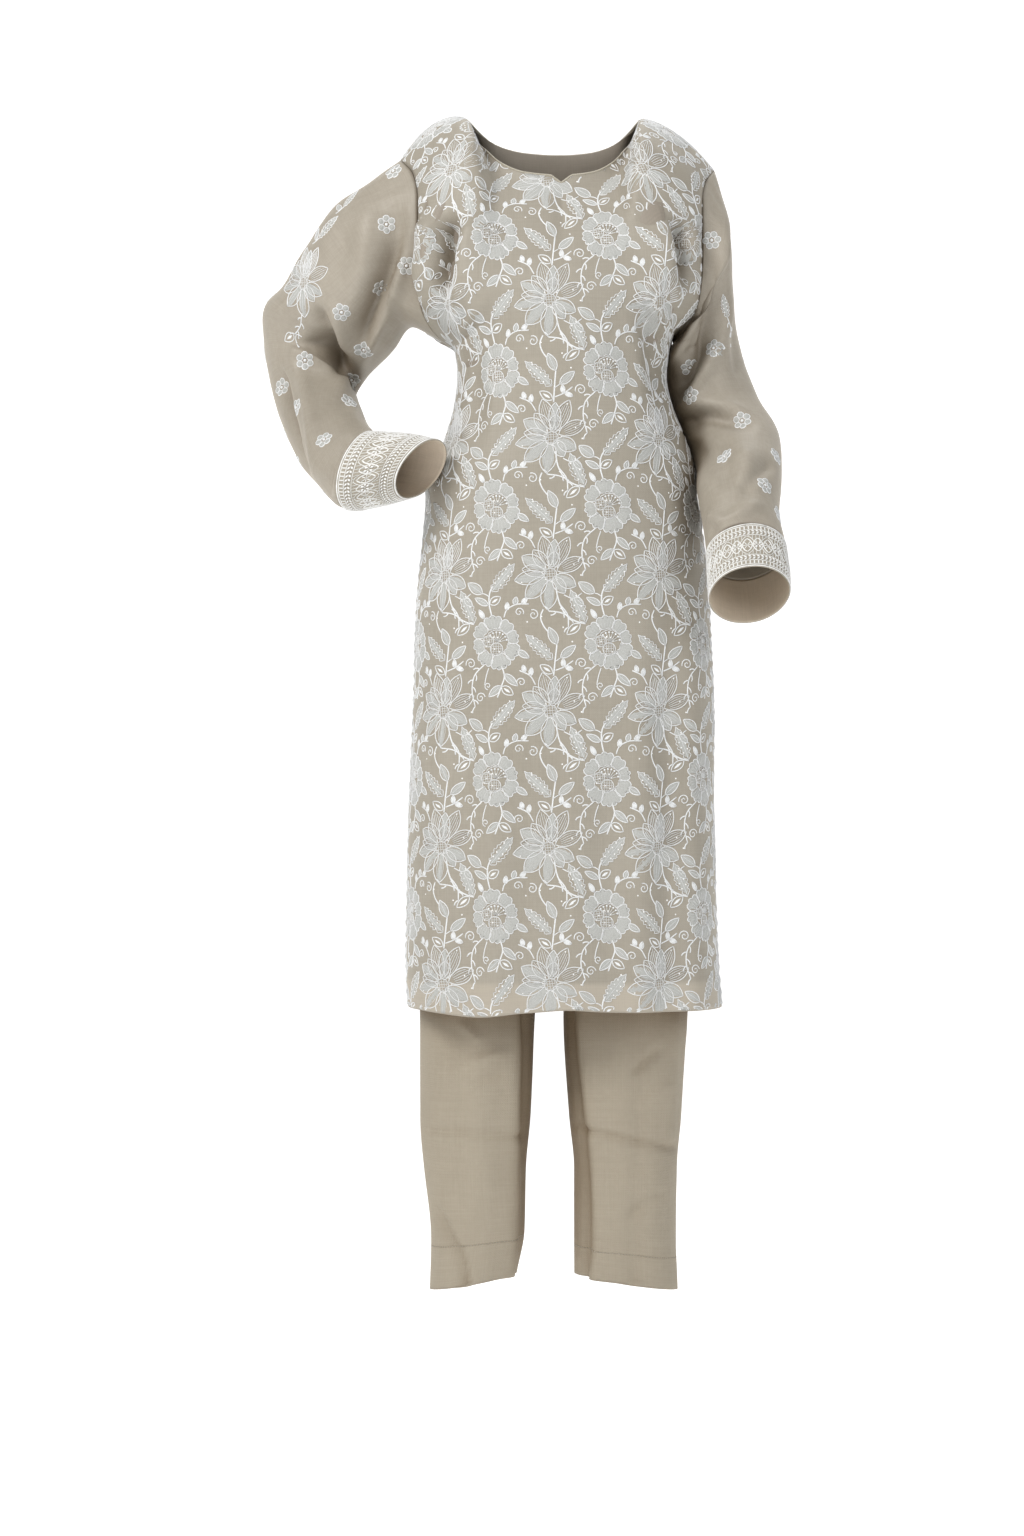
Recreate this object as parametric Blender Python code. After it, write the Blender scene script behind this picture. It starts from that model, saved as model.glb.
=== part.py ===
"""Salwar kameez suit, worn and hollow: kameez over its lining, two sleeves with lace cuffs,
and straight trousers.  Metres, +Z up, the front faces -Y.  The origin is between the two
neck ends of the shoulder seams, where the wearer's shoulders carry the kameez.
Right and left are the wearer's; the wearer's right is -X."""
import bpy
import math
from collections import namedtuple
from mathutils import Vector

for old in list(bpy.data.objects):
    bpy.data.objects.remove(old, do_unlink=True)

# ---- driving sizes, metres ---------------------------------------------------------------
WALL = 0.0015          # every cloth wall
SEAM_GAP = 0.0003      # between the pieces of one seam
LAYER_GAP = 0.0006     # between the kameez and its lining
HEM_LEVEL = -1.018     # kameez hem
LINING_LEVEL = -0.985  # the lining stops short of the kameez hem
NOTCH_DEPTH = 0.009    # small V at the middle of the front neck
AROUND = 18            # points round a sleeve; half of them set the armhole rows
TROUSER_HEM = -1.331
CROTCH = -0.700
WAIST_SEAM = -0.442
WAIST_TOP = -0.404

# ---- short tables --------------------------------------------------------------------------
Body = namedtuple("Body", "z middle half front back corner")
BODY = [
    Body(-0.256, 0.0010, 0.1255, 0.128, 0.100, 2.30),   # underarm
    Body(-0.295, -0.0005, 0.1190, 0.126, 0.094, 2.30),  # narrowest, gathered at the sides
    Body(-0.330, 0.0010, 0.1245, 0.123, 0.092, 2.35),
    Body(-0.370, 0.0030, 0.1385, 0.121, 0.096, 2.40),
    Body(-0.412, -0.0005, 0.1545, 0.121, 0.104, 2.40),  # the side folds open here
    Body(-0.455, 0.0010, 0.1580, 0.122, 0.113, 2.40),
    Body(-0.560, 0.0010, 0.1680, 0.124, 0.124, 2.40),
    Body(-0.667, 0.0015, 0.1720, 0.126, 0.125, 2.45),
    Body(-0.800, -0.0010, 0.1750, 0.127, 0.121, 2.50),
    Body(-0.950, -0.0005, 0.1785, 0.128, 0.119, 2.55),
    Body(-1.018, 0.0030, 0.1800, 0.128, 0.119, 2.60),   # hem
]
BODY_LEVELS = [HEM_LEVEL, LINING_LEVEL, -0.900, -0.800, -0.667, -0.560, -0.470, -0.412, -0.370, -0.330, -0.293]

Side = namedtuple("Side", "way neck_x neck_z mid_z tip_x tip_z under_x under_z")
RIGHT = Side(-1, -0.110, 0.000, -0.006, -0.186, -0.048, -0.1245, -0.262)
LEFT = Side(1, 0.090, 0.000, -0.018, 0.175, -0.060, 0.1265, -0.250)

# armhole edge: share up from the underarm, share of the way out and up, depth each way
Armhole = namedtuple("Armhole", "up out rise front back")
ARMHOLE = [
    Armhole(0.00, 0.00, 0.00, 0.000, 0.000),
    Armhole(0.03, 0.11, 0.01, 0.012, 0.012),
    Armhole(0.12, 0.36, 0.06, 0.029, 0.029),
    Armhole(0.25, 0.57, 0.17, 0.045, 0.046),
    Armhole(0.41, 0.64, 0.36, 0.054, 0.058),
    Armhole(0.59, 0.64, 0.58, 0.056, 0.062),
    Armhole(0.75, 0.65, 0.77, 0.051, 0.058),
    Armhole(0.88, 0.74, 0.90, 0.035, 0.041),
    Armhole(0.97, 0.95, 0.98, 0.016, 0.019),
    Armhole(1.00, 1.00, 1.00, 0.000, 0.000),
]

SHOULDER_TURN = 0.59   # above this share the cloth bends over the shoulder
SHOULDER_CORNER = 1.7  # the chest is less square near the shoulder than at the underarm

# middle line of the chest and back above the underarm: share up, depth each way
Chest = namedtuple("Chest", "up front back")
CHEST = [
    Chest(0.00, 0.128, 0.100), Chest(0.15, 0.130, 0.106), Chest(0.30, 0.128, 0.110),
    Chest(0.45, 0.121, 0.109), Chest(0.60, 0.110, 0.103), Chest(0.75, 0.096, 0.092),
    Chest(0.90, 0.078, 0.076), Chest(1.00, 0.066, 0.064),
]

# neck edge: share across from the middle, share of its full depth, share of its full reach
Neck = namedtuple("Neck", "across drop reach")
NECK = [
    Neck(0.00, 1.00, 1.00), Neck(0.11, 1.00, 0.99), Neck(0.38, 0.95, 0.92),
    Neck(0.62, 0.80, 0.78), Neck(0.85, 0.45, 0.50), Neck(1.00, 0.00, 0.00),
]
FRONT_NECK_DROP = 0.0765
BACK_NECK_DROP = 0.030

# how the columns of a panel spread, from the middle to the side seam
COLUMN_TURN = [0.0, 0.05, 0.16, 0.30, 0.45, 0.62, 0.81, 1.0]

# sleeve rings: where the outer and inner edges of the cloth run, how deep the tube is there,
# how far the ring leans toward the front, and how far its middle bows down the arm
Ring = namedtuple("Ring", "name outer_x outer_z inner_x inner_z y deep lean bow")
SLEEVE_RIGHT = [
    Ring("high", -0.2575, -0.0940, -0.1720, -0.2370, 0.020, 0.058, -12, 0.000),
    Ring("bicep", -0.2950, -0.1385, -0.1950, -0.2585, 0.045, 0.056, -20, 0.000),
    Ring("low", -0.3250, -0.1800, -0.2135, -0.2740, 0.070, 0.054, -15, 0.000),
    Ring("above_elbow", -0.3485, -0.2040, -0.2285, -0.2865, 0.088, 0.052, 0, 0.000),
    Ring("elbow", -0.3505, -0.2430, -0.2405, -0.3045, 0.098, 0.052, 15, 0.000),
    Ring("below_elbow", -0.3405, -0.2975, -0.2380, -0.3185, 0.088, 0.050, 30, 0.000),
    Ring("forearm_high", -0.3240, -0.3500, -0.2300, -0.3345, 0.050, 0.047, 38, 0.000),
    Ring("forearm", -0.3035, -0.3920, -0.2230, -0.3500, 0.015, 0.045, 38, 0.000),
    Ring("forearm_low", -0.2770, -0.4240, -0.2165, -0.3610, -0.020, 0.044, 34, 0.000),
    Ring("cuff_seam", -0.2465, -0.4525, -0.2135, -0.3675, -0.060, 0.043, 28, 0.000),
    Ring("cuff_middle", -0.2145, -0.4510, -0.1750, -0.3720, -0.085, 0.041, 28, 0.000),
    Ring("cuff_rim", -0.1825, -0.4415, -0.1345, -0.3825, -0.105, 0.039, 28, 0.000),
]
SLEEVE_LEFT = [
    Ring("high", 0.1865, -0.1000, 0.1400, -0.2550, 0.005, 0.062, 0, 0.014),
    Ring("bicep", 0.1945, -0.1460, 0.1300, -0.2650, 0.014, 0.067, 0, 0.010),
    Ring("low", 0.1985, -0.1950, 0.1220, -0.2770, 0.025, 0.068, 0, 0.004),
    Ring("lower", 0.2020, -0.2370, 0.1180, -0.2950, 0.031, 0.067, 4, 0.000),
    Ring("above_elbow", 0.2090, -0.2670, 0.1200, -0.3130, 0.031, 0.066, 8, 0.000),
    Ring("elbow_high", 0.2285, -0.3225, 0.1325, -0.3475, 0.024, 0.062, 18, 0.000),
    Ring("elbow", 0.2475, -0.3565, 0.1470, -0.3840, 0.006, 0.058, 28, 0.000),
    Ring("below_elbow", 0.2500, -0.3820, 0.1570, -0.4115, -0.027, 0.053, 36, 0.000),
    Ring("forearm", 0.2450, -0.4280, 0.1560, -0.4450, -0.080, 0.048, 40, 0.000),
    Ring("forearm_low", 0.2400, -0.4700, 0.1565, -0.4790, -0.110, 0.045, 42, 0.000),
    Ring("cuff_seam", 0.2465, -0.5020, 0.1580, -0.5110, -0.128, 0.044, 42, 0.000),
    Ring("cuff_middle", 0.2480, -0.5260, 0.1580, -0.5365, -0.147, 0.044, 42, 0.000),
    Ring("cuff_rim", 0.2475, -0.5500, 0.1585, -0.5620, -0.167, 0.044, 42, 0.000),
]
CAP_SHARE = 0.42  # one ring of the sleeve head lies this far from the armhole to the next ring
CUFF_RINGS = 3  # the last rings of each table belong to the lace cuff

Leg = namedtuple("Leg", "z outer inner front back")
LEG_RIGHT = [
    Leg(TROUSER_HEM, -0.1520, -0.0520, 0.058, 0.060),
    Leg(-1.280, -0.1505, -0.0430, 0.059, 0.062),
    Leg(-1.206, -0.1585, -0.0414, 0.062, 0.066),
    Leg(-1.144, -0.1630, -0.0360, 0.066, 0.072),
    Leg(-1.030, -0.1632, -0.0310, 0.072, 0.080),
    Leg(-0.900, -0.1630, -0.0190, 0.082, 0.090),
    Leg(-0.780, -0.1640, -0.0070, 0.092, 0.100),
    Leg(CROTCH, -0.1640, -0.0020, 0.100, 0.106),
]
LEG_LEFT = [
    Leg(TROUSER_HEM, 0.1330, 0.0140, 0.058, 0.060),
    Leg(-1.280, 0.1310, 0.0138, 0.059, 0.062),
    Leg(-1.206, 0.1320, 0.0138, 0.062, 0.066),
    Leg(-1.144, 0.1370, 0.0080, 0.066, 0.072),
    Leg(-1.030, 0.1440, 0.0015, 0.072, 0.080),
    Leg(-0.900, 0.1550, 0.0018, 0.082, 0.090),
    Leg(-0.780, 0.1620, 0.0019, 0.092, 0.100),
    Leg(CROTCH, 0.1640, 0.0020, 0.100, 0.106),
]
Hip = namedtuple("Hip", "z half front back joined")
HIPS = [
    Hip(-0.645, 0.1610, 0.106, 0.113, 0.55),
    Hip(-0.590, 0.1570, 0.107, 0.114, 1.00),
    Hip(-0.520, 0.1500, 0.104, 0.105, 1.00),
    Hip(WAIST_SEAM, 0.1360, 0.098, 0.086, 1.00),
]
HIP_CORNER = 2.3
LEG_COLUMNS = 8
WAIST_AROUND = 28


# ---- the forms -----------------------------------------------------------------------------
def smooth(t):
    t = min(1.0, max(0.0, t))
    return t * t * (3.0 - 2.0 * t)


def mix(a, b, share):
    return a + (b - a) * share


def read(rows, key, column, at):
    """A soft curve through one column of a table, read at a value of its key column."""
    pts = sorted((getattr(r, key), getattr(r, column)) for r in rows)
    at = min(pts[-1][0], max(pts[0][0], at))
    i = 0
    while i < len(pts) - 2 and at > pts[i + 1][0]:
        i += 1

    def slope(j):
        a, b = max(0, j - 1), min(len(pts) - 1, j + 1)
        left = (pts[j][1] - pts[a][1]) / (pts[j][0] - pts[a][0]) if j > a else None
        right = (pts[b][1] - pts[j][1]) / (pts[b][0] - pts[j][0]) if b > j else None
        if left is None or right is None:
            return left if right is None else right
        return 0.0 if left * right <= 0 else 2.0 * left * right / (left + right)

    (x0, y0), (x1, y1) = pts[i], pts[i + 1]
    span = x1 - x0
    t = (at - x0) / span
    return ((2 * t ** 3 - 3 * t ** 2 + 1) * y0 + (t ** 3 - 2 * t ** 2 + t) * span * slope(i)
            + (3 * t ** 2 - 2 * t ** 3) * y1 + (t ** 3 - t ** 2) * span * slope(i + 1))


def arm_shares():
    """Rows from the underarm to the shoulder, the same ones that the sleeve's ring uses."""
    half = AROUND // 2
    return [(1.0 + math.cos(math.pi * k / half)) / 2.0 for k in range(half, -1, -1)]


def armhole_point(side, up, face):
    deep = read(ARMHOLE, "up", "front" if face < 0 else "back", up)
    return Vector((
        mix(side.under_x, side.tip_x, read(ARMHOLE, "up", "out", up)),
        face * deep,
        mix(side.under_z, side.tip_z, read(ARMHOLE, "up", "rise", up)),
    ))


def body_point(z, turn, way, face):
    """Below the underarm: turn runs 0 at the middle to 1 at the side seam."""
    middle = read(BODY, "z", "middle", z)
    half = read(BODY, "z", "half", z)
    deep = read(BODY, "z", "front" if face < 0 else "back", z)
    power = 2.0 / read(BODY, "z", "corner", z)
    a = turn * math.pi / 2.0
    return Vector((
        middle + way * half * math.sin(a) ** power,
        face * deep * max(0.0, math.cos(a)) ** power,
        z,
    ))


def top_point(side, column, face):
    """The neck edge from the middle out, then the shoulder seam to the armhole."""
    last_neck = len(NECK) - 1
    drop = FRONT_NECK_DROP if face < 0 else BACK_NECK_DROP
    reach = CHEST[-1].front if face < 0 else CHEST[-1].back
    middle = -0.002
    if column <= last_neck:
        row = NECK[column]
        notch = NOTCH_DEPTH if column == 0 and face < 0 else 0.0
        return Vector((
            mix(middle, side.neck_x, row.across),
            face * reach * row.reach,
            side.neck_z - drop * row.drop - notch,
        ))
    share = (column - last_neck) / (len(COLUMN_TURN) - 1 - last_neck)
    z = mix(side.neck_z, side.tip_z, share) if share in (0.0, 1.0) else side.mid_z
    return Vector((mix(side.neck_x, side.tip_x, share), 0.0, z))


def chest_point(side, up, column, face):
    """Above the underarm: rows rise from the level of the underarm to the neck and shoulder."""
    last = len(COLUMN_TURN) - 1
    if column == last:
        return armhole_point(side, up, face)
    top = top_point(side, column, face)
    level = mix(BODY[0].z, side.under_z, COLUMN_TURN[column])
    low = body_point(BODY[0].z, COLUMN_TURN[column], side.way, face)
    edge = armhole_point(side, up, face)
    low_share = (low.x - BODY[0].middle) / (side.under_x - BODY[0].middle)
    top_share = (top.x + 0.002) / (side.tip_x + 0.002)
    share = min(1.0, max(0.0, mix(low_share, top_share, smooth(up))))
    centre = mix(BODY[0].middle, -0.002, up)
    x = mix(centre, edge.x, share)
    neck_share = (side.neck_x + 0.002) / (side.tip_x + 0.002)
    rounded = mix(smooth((share - 0.75) / 0.25), smooth((share / neck_share - 0.75) / 0.25),
                  smooth((up - 0.3) / 0.3))
    z = mix(level, top.z, mix(up, read(ARMHOLE, "up", "rise", up), rounded))
    way = "front" if face < 0 else "back"
    corner = mix(BODY[0].corner, SHOULDER_CORNER, up)
    full = max(0.0, 1.0 - share ** corner) ** (1.0 / corner)
    y = mix(abs(edge.y), read(CHEST, "up", way, up), full)
    y = mix(y, abs(top.y), up ** 4)
    # over the shoulder the cloth turns back to the seam in the same way as the armhole edge
    widest = min(up, SHOULDER_TURN)
    over = mix(read(ARMHOLE, "up", way, widest), read(CHEST, "up", way, widest), full)
    over *= read(ARMHOLE, "up", way, max(up, SHOULDER_TURN)) / read(ARMHOLE, "up", way, SHOULDER_TURN)
    return Vector((x, face * mix(y, over, rounded), z))


def body_panel(face, hem, inset):
    """Grid of one half of the body, rows from the hem up, columns from the wearer's right."""
    last = len(COLUMN_TURN) - 1
    order = [(RIGHT, c) for c in range(last, 0, -1)] + [(LEFT, c) for c in range(0, last + 1)]
    rows = []
    for z in [hem] + [level for level in BODY_LEVELS if level > hem + 0.02]:
        rows.append([body_point(z, COLUMN_TURN[c], side.way, face) for side, c in order])
    for up in arm_shares():
        rows.append([chest_point(side, up, c, face) for side, c in order])
    for row in rows:
        for p in row:
            p.y += face * SEAM_GAP / 2.0
    if inset:
        rows = offset(rows, -inset, face, False)
    return rows


def normals(rows, facing, ring):
    """Surface directions of a grid; facing turns them outward."""
    tall, wide = len(rows), len(rows[0])
    out = []
    for r in range(tall):
        line = []
        for c in range(wide):
            up, down = rows[min(tall - 1, r + 1)][c], rows[max(0, r - 1)][c]
            if ring:
                left, right = rows[r][(c - 1) % wide], rows[r][(c + 1) % wide]
            else:
                left, right = rows[r][max(0, c - 1)], rows[r][min(wide - 1, c + 1)]
            n = (right - left).cross(up - down) * facing
            line.append(n.normalized() if n.length > 1e-12 else Vector((0, 0, 1)))
        out.append(line)
    return out


def level_edges(directions, flat):
    """Keep the wall square to its seam: flat maps an edge of the grid to the seam's direction."""
    tall, wide = len(directions), len(directions[0])
    for edge, across in flat.items():
        if edge in ("first_row", "last_row"):
            r = 0 if edge == "first_row" else tall - 1
            spots = [(r, c) for c in range(wide)]
        else:
            c = 0 if edge == "first_column" else wide - 1
            spots = [(r, c) for r in range(tall)]
        for r, c in spots:
            n = directions[r][c]
            n = n - across * n.dot(across)
            directions[r][c] = n.normalized()
    return directions


def offset(rows, far, face, ring):
    directions = normals(rows, 1.0 if face < 0 else -1.0, ring)
    seam = Vector((0, 1, 0))
    directions = level_edges(directions, {"first_column": seam, "last_column": seam})
    neck = [c for c in range(len(rows[-1])) if abs(rows[-1][c].y) > SEAM_GAP]
    for c in range(len(rows[-1])):
        if c not in neck:
            n = directions[-1][c]
            directions[-1][c] = Vector((n.x, 0.0, n.z)).normalized()
    return [[p + directions[r][c] * far for c, p in enumerate(row)]
            for r, row in enumerate(rows)]


def solid(name, outer, inner, ring, colour):
    """Close an outer and an inner grid into one wall."""
    tall, wide = len(outer), len(outer[0])
    verts = [tuple(p) for grid in (outer, inner) for row in grid for p in row]
    faces = []
    spans = range(wide) if ring else range(wide - 1)

    def at(layer, r, c):
        return layer * tall * wide + r * wide + c % wide

    for r in range(tall - 1):
        for c in spans:
            a, b = at(0, r, c), at(0, r, c + 1)
            d, e = at(0, r + 1, c + 1), at(0, r + 1, c)
            # both faces of the wall split the same way, so that the wall stays even
            halves = ((a, b, d), (a, d, e)) if c < wide // 2 else ((a, b, e), (b, d, e))
            for half in halves:
                faces.append(half)
                faces.append(tuple(i + tall * wide for i in reversed(half)))
    for c in spans:
        faces.append((at(1, 0, c), at(1, 0, c + 1), at(0, 0, c + 1), at(0, 0, c)))
        t = tall - 1
        faces.append((at(0, t, c), at(0, t, c + 1), at(1, t, c + 1), at(1, t, c)))
    if not ring:
        for r in range(tall - 1):
            faces.append((at(0, r, 0), at(0, r + 1, 0), at(1, r + 1, 0), at(1, r, 0)))
            w = wide - 1
            faces.append((at(1, r, w), at(1, r + 1, w), at(0, r + 1, w), at(0, r, w)))
    mesh = bpy.data.meshes.new(name)
    mesh.from_pydata(verts, [], faces)
    mesh.update()
    volume = 0.0
    for poly in mesh.polygons:
        pts = [mesh.vertices[i].co for i in poly.vertices]
        for i in range(1, len(pts) - 1):
            volume += pts[0].dot(pts[i].cross(pts[i + 1])) / 6.0
    if volume < 0:
        mesh.flip_normals()
    material = bpy.data.materials.new(name + "_cloth")
    material.use_nodes = True
    shader = material.node_tree.nodes["Principled BSDF"]
    shader.inputs["Base Color"].default_value = (*colour, 1.0)
    shader.inputs["Roughness"].default_value = 0.85
    mesh.materials.append(material)
    piece = bpy.data.objects.new(name, mesh)
    bpy.context.scene.collection.objects.link(piece)
    return piece


def sleeve_ring(row, side):
    """One ring, from its outer edge round the front to the inner edge and the back."""
    outer = Vector((row.outer_x, row.y, row.outer_z))
    inner = Vector((row.inner_x, row.y, row.inner_z))
    centre = (outer + inner) / 2.0
    top = (outer - inner) / 2.0
    along = Vector((top.z, 0.0, -top.x)).normalized() * side.way
    lean = math.radians(row.lean)
    front = (-along * math.sin(lean) - Vector((0, math.cos(lean), 0))) * row.deep
    points = []
    for k in range(AROUND):
        a = 2.0 * math.pi * k / AROUND
        bow = along * row.bow * math.sin(a) ** 2
        points.append(centre + top * math.cos(a) + front * math.sin(a) + bow)
    return points


def sleeve_grids(side, table):
    ring0 = []
    half = AROUND // 2
    shares = arm_shares()[::-1]
    for k in range(AROUND):
        face = -1 if k <= half else 1
        up = shares[k if k <= half else AROUND - k]
        p = armhole_point(side, up, face)
        p.x += side.way * SEAM_GAP * 1.5
        if up > 0 and up < 1:
            p.y += face * SEAM_GAP / 2.0
        ring0.append(p)
    rings = [sleeve_ring(row, side) for row in table]
    cap = [a.lerp(b, CAP_SHARE) for a, b in zip(ring0, rings[0])]
    rings = [ring0, cap] + rings
    cut = len(rings) - CUFF_RINGS
    sleeve, cuff = rings[:cut + 1], [list(r) for r in rings[cut:]]
    step = seam_axis(rings[cut]) * SEAM_GAP
    if step.dot(mean(rings[cut + 1]) - mean(rings[cut])) < 0:
        step = -step
    cuff[0] = [p + step for p in cuff[0]]
    return sleeve, cuff


def mean(points):
    return sum(points, Vector()) / len(points)


def seam_axis(ring):
    """The direction square to a flat ring."""
    centre = mean(ring)
    n = Vector()
    for i, p in enumerate(ring):
        n += (p - centre).cross(ring[(i + 1) % len(ring)] - centre)
    return n.normalized()


def tube(name, rings, colour, flat):
    directions = normals(rings, 1.0, True)
    centre, side_point = mean(rings[len(rings) // 2]), rings[len(rings) // 2][0]
    if directions[len(rings) // 2][0].dot(side_point - centre) < 0:
        directions = [[-n for n in row] for row in directions]
    directions = level_edges(directions, flat)
    inner = [[p - directions[r][c] * WALL for c, p in enumerate(row)]
             for r, row in enumerate(rings)]
    return solid(name, rings, inner, True, colour)


def leg_rows(table, way, face):
    """Half of one leg: columns from the inseam to the side seam, rows from hem to waist."""
    rows = []
    levels = [row.z for row in table] + [row.z for row in HIPS]
    for z in levels:
        legs = min(z, CROTCH)
        outer = read(table, "z", "outer", legs)
        inner = read(table, "z", "inner", legs)
        deep = read(table, "z", "front" if face < 0 else "back", legs)
        joined = 0.0
        if z > CROTCH:
            hip = [row for row in HIPS if row.z == z][0]
            joined = hip.joined
        line = []
        for c in range(LEG_COLUMNS + 1):
            s = c / LEG_COLUMNS
            leg = Vector((
                mix(inner, outer, (1.0 - math.cos(math.pi * s)) / 2.0),
                face * deep * math.sin(math.pi * s), z))
            if joined > 0.0:
                power = 2.0 / HIP_CORNER
                a = s * math.pi / 2.0
                hip_deep = hip.front if face < 0 else hip.back
                whole = Vector((
                    way * max(SEAM_GAP / 2.0, hip.half * math.sin(a) ** power),
                    face * hip_deep * max(0.0, math.cos(a)) ** power, z))
                leg = leg.lerp(whole, joined)
            leg.y += face * SEAM_GAP / 2.0
            line.append(leg)
        rows.append(line)
    return rows


def trouser_piece(name, table, way, face, colour):
    rows = leg_rows(table, way, face)
    directions = normals(rows, -way * face, False)
    side_seam, centre_seam = Vector((0, 1, 0)), Vector((1, 0, 0))
    directions = level_edges(directions, {
        "first_row": Vector((0, 0, 1)), "last_row": Vector((0, 0, 1)),
        "last_column": side_seam})
    for r, row in enumerate(rows):
        z = row[0].z
        below = z < CROTCH + 1e-5
        seam = side_seam if below else centre_seam
        n = directions[r][0]
        directions[r][0] = (n - seam * n.dot(seam)).normalized()
        if below:
            directions[r][0] = Vector((-way, 0, 0))
    inner = [[p - directions[r][c] * WALL for c, p in enumerate(row)]
             for r, row in enumerate(rows)]
    return solid(name, rows, inner, False, colour)


def waistband(colour):
    rings = []
    for z, grow in ((WAIST_SEAM + SEAM_GAP, 0.0), (WAIST_TOP, -0.003)):
        ring = []
        for k in range(WAIST_AROUND):
            a = 2.0 * math.pi * k / WAIST_AROUND
            power = 2.0 / HIP_CORNER
            deep = HIPS[-1].front if math.cos(a) > 0 else HIPS[-1].back
            ring.append(Vector((
                math.copysign((HIPS[-1].half + grow) * abs(math.sin(a)) ** power, math.sin(a)),
                -math.copysign((deep + grow) * abs(math.cos(a)) ** power, math.cos(a)), z)))
        rings.append(ring)
    up = Vector((0, 0, 1))
    return tube("trouser_waistband", rings, colour, {"first_row": up, "last_row": up})


# ---- build ---------------------------------------------------------------------------------
EMBROIDERED = (0.49, 0.46, 0.40)
LINING = (0.42, 0.38, 0.33)
LACE = (0.70, 0.70, 0.68)
PLAIN = (0.41, 0.36, 0.28)

for face, name in ((-1, "front"), (1, "back")):
    outer = body_panel(face, HEM_LEVEL, 0.0)
    solid("kameez_" + name, outer, offset(outer, -WALL, face, False), False, EMBROIDERED)
    outer = body_panel(face, LINING_LEVEL, WALL + LAYER_GAP)
    solid("kameez_lining_" + name, outer, offset(outer, -WALL, face, False), False, LINING)

for side, name, table in ((RIGHT, "right", SLEEVE_RIGHT), (LEFT, "left", SLEEVE_LEFT)):
    sleeve, cuff = sleeve_grids(side, table)
    across = Vector((1, 0, 0))
    seam = seam_axis(cuff[0])
    tube("sleeve_" + name, sleeve, EMBROIDERED, {"first_row": across, "last_row": seam})
    tube("cuff_" + name, cuff, LACE, {"first_row": seam, "last_row": seam_axis(cuff[-1])})

for table, way, name in ((LEG_RIGHT, -1, "right"), (LEG_LEFT, 1, "left")):
    for face, half in ((-1, "front"), (1, "back")):
        trouser_piece("trouser_%s_%s" % (name, half), table, way, face, PLAIN)
waistband(PLAIN)
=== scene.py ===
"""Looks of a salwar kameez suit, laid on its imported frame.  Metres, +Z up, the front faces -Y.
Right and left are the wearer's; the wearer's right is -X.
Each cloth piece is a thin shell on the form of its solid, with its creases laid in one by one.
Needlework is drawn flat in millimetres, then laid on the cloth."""
import math
from collections import namedtuple

import bpy
import numpy as np
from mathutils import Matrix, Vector
from mathutils.bvhtree import BVHTree

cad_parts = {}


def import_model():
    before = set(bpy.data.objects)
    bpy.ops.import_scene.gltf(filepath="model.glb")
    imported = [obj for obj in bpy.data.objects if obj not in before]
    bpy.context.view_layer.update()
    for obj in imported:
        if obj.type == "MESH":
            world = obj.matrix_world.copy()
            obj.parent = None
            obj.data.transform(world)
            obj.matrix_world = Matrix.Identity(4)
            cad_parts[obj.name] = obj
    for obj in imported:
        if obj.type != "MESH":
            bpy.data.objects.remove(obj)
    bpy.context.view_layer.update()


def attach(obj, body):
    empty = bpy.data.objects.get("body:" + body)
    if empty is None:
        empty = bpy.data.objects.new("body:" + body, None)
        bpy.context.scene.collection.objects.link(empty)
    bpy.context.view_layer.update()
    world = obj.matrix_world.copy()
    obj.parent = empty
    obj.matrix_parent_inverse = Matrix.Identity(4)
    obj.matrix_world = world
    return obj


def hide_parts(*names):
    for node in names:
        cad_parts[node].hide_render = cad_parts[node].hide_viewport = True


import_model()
bpy.ops.object.select_all(action="DESELECT")

MM = 0.001
# ---- driving sizes, metres ---------------------------------------------------------------
SEAM_GAP = 0.0003      # between the pieces of one seam
LAYER_GAP = 0.0006     # between the kameez and its lining
HEM_LEVEL = -1.018     # kameez hem
LINING_LEVEL = -0.985  # the lining stops short of the kameez hem
NOTCH_DEPTH = 0.009    # small V at the middle of the front neck
NOTCH_HALF = 0.012     # half its width
TROUSER_HEM = -1.331
CROTCH = -0.700        # the two legs join above this
WAIST_SEAM = -0.442    # between the legs' cloth and the waistband
WAIST_TOP = -0.404
CLOTH = 0.0012         # how thick a shell of cloth is
LINER = 0.0010         # the same for the lining

# ---- short tables --------------------------------------------------------------------------
# the body below the underarm: middle, half the width, depth each way, how square it is
Body = namedtuple("Body", "z middle half front back corner")
BODY = [
    Body(-0.256, 0.0010, 0.1255, 0.128, 0.100, 2.30),   # underarm
    Body(-0.295, -0.0005, 0.1190, 0.126, 0.094, 2.30),  # narrowest, gathered at the sides
    Body(-0.330, 0.0010, 0.1245, 0.123, 0.092, 2.35),
    Body(-0.370, 0.0030, 0.1385, 0.121, 0.096, 2.40),
    Body(-0.412, -0.0005, 0.1545, 0.121, 0.104, 2.40),  # the side folds open here
    Body(-0.455, 0.0010, 0.1580, 0.122, 0.113, 2.40),
    Body(-0.560, 0.0010, 0.1680, 0.124, 0.124, 2.40),
    Body(-0.667, 0.0015, 0.1720, 0.126, 0.125, 2.45),
    Body(-0.800, -0.0010, 0.1750, 0.127, 0.121, 2.50),
    Body(-0.950, -0.0005, 0.1785, 0.128, 0.119, 2.55),
    Body(-1.018, 0.0030, 0.1800, 0.128, 0.119, 2.60),   # hem
]

# the shoulder line from its neck end to its tip, with its middle's level, and the underarm
Side = namedtuple("Side", "way neck_x neck_z mid_z tip_x tip_z under_x under_z")
RIGHT = Side(-1, -0.110, 0.000, -0.006, -0.186, -0.048, -0.1245, -0.262)
LEFT = Side(1, 0.090, 0.000, -0.018, 0.175, -0.060, 0.1265, -0.250)

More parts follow.
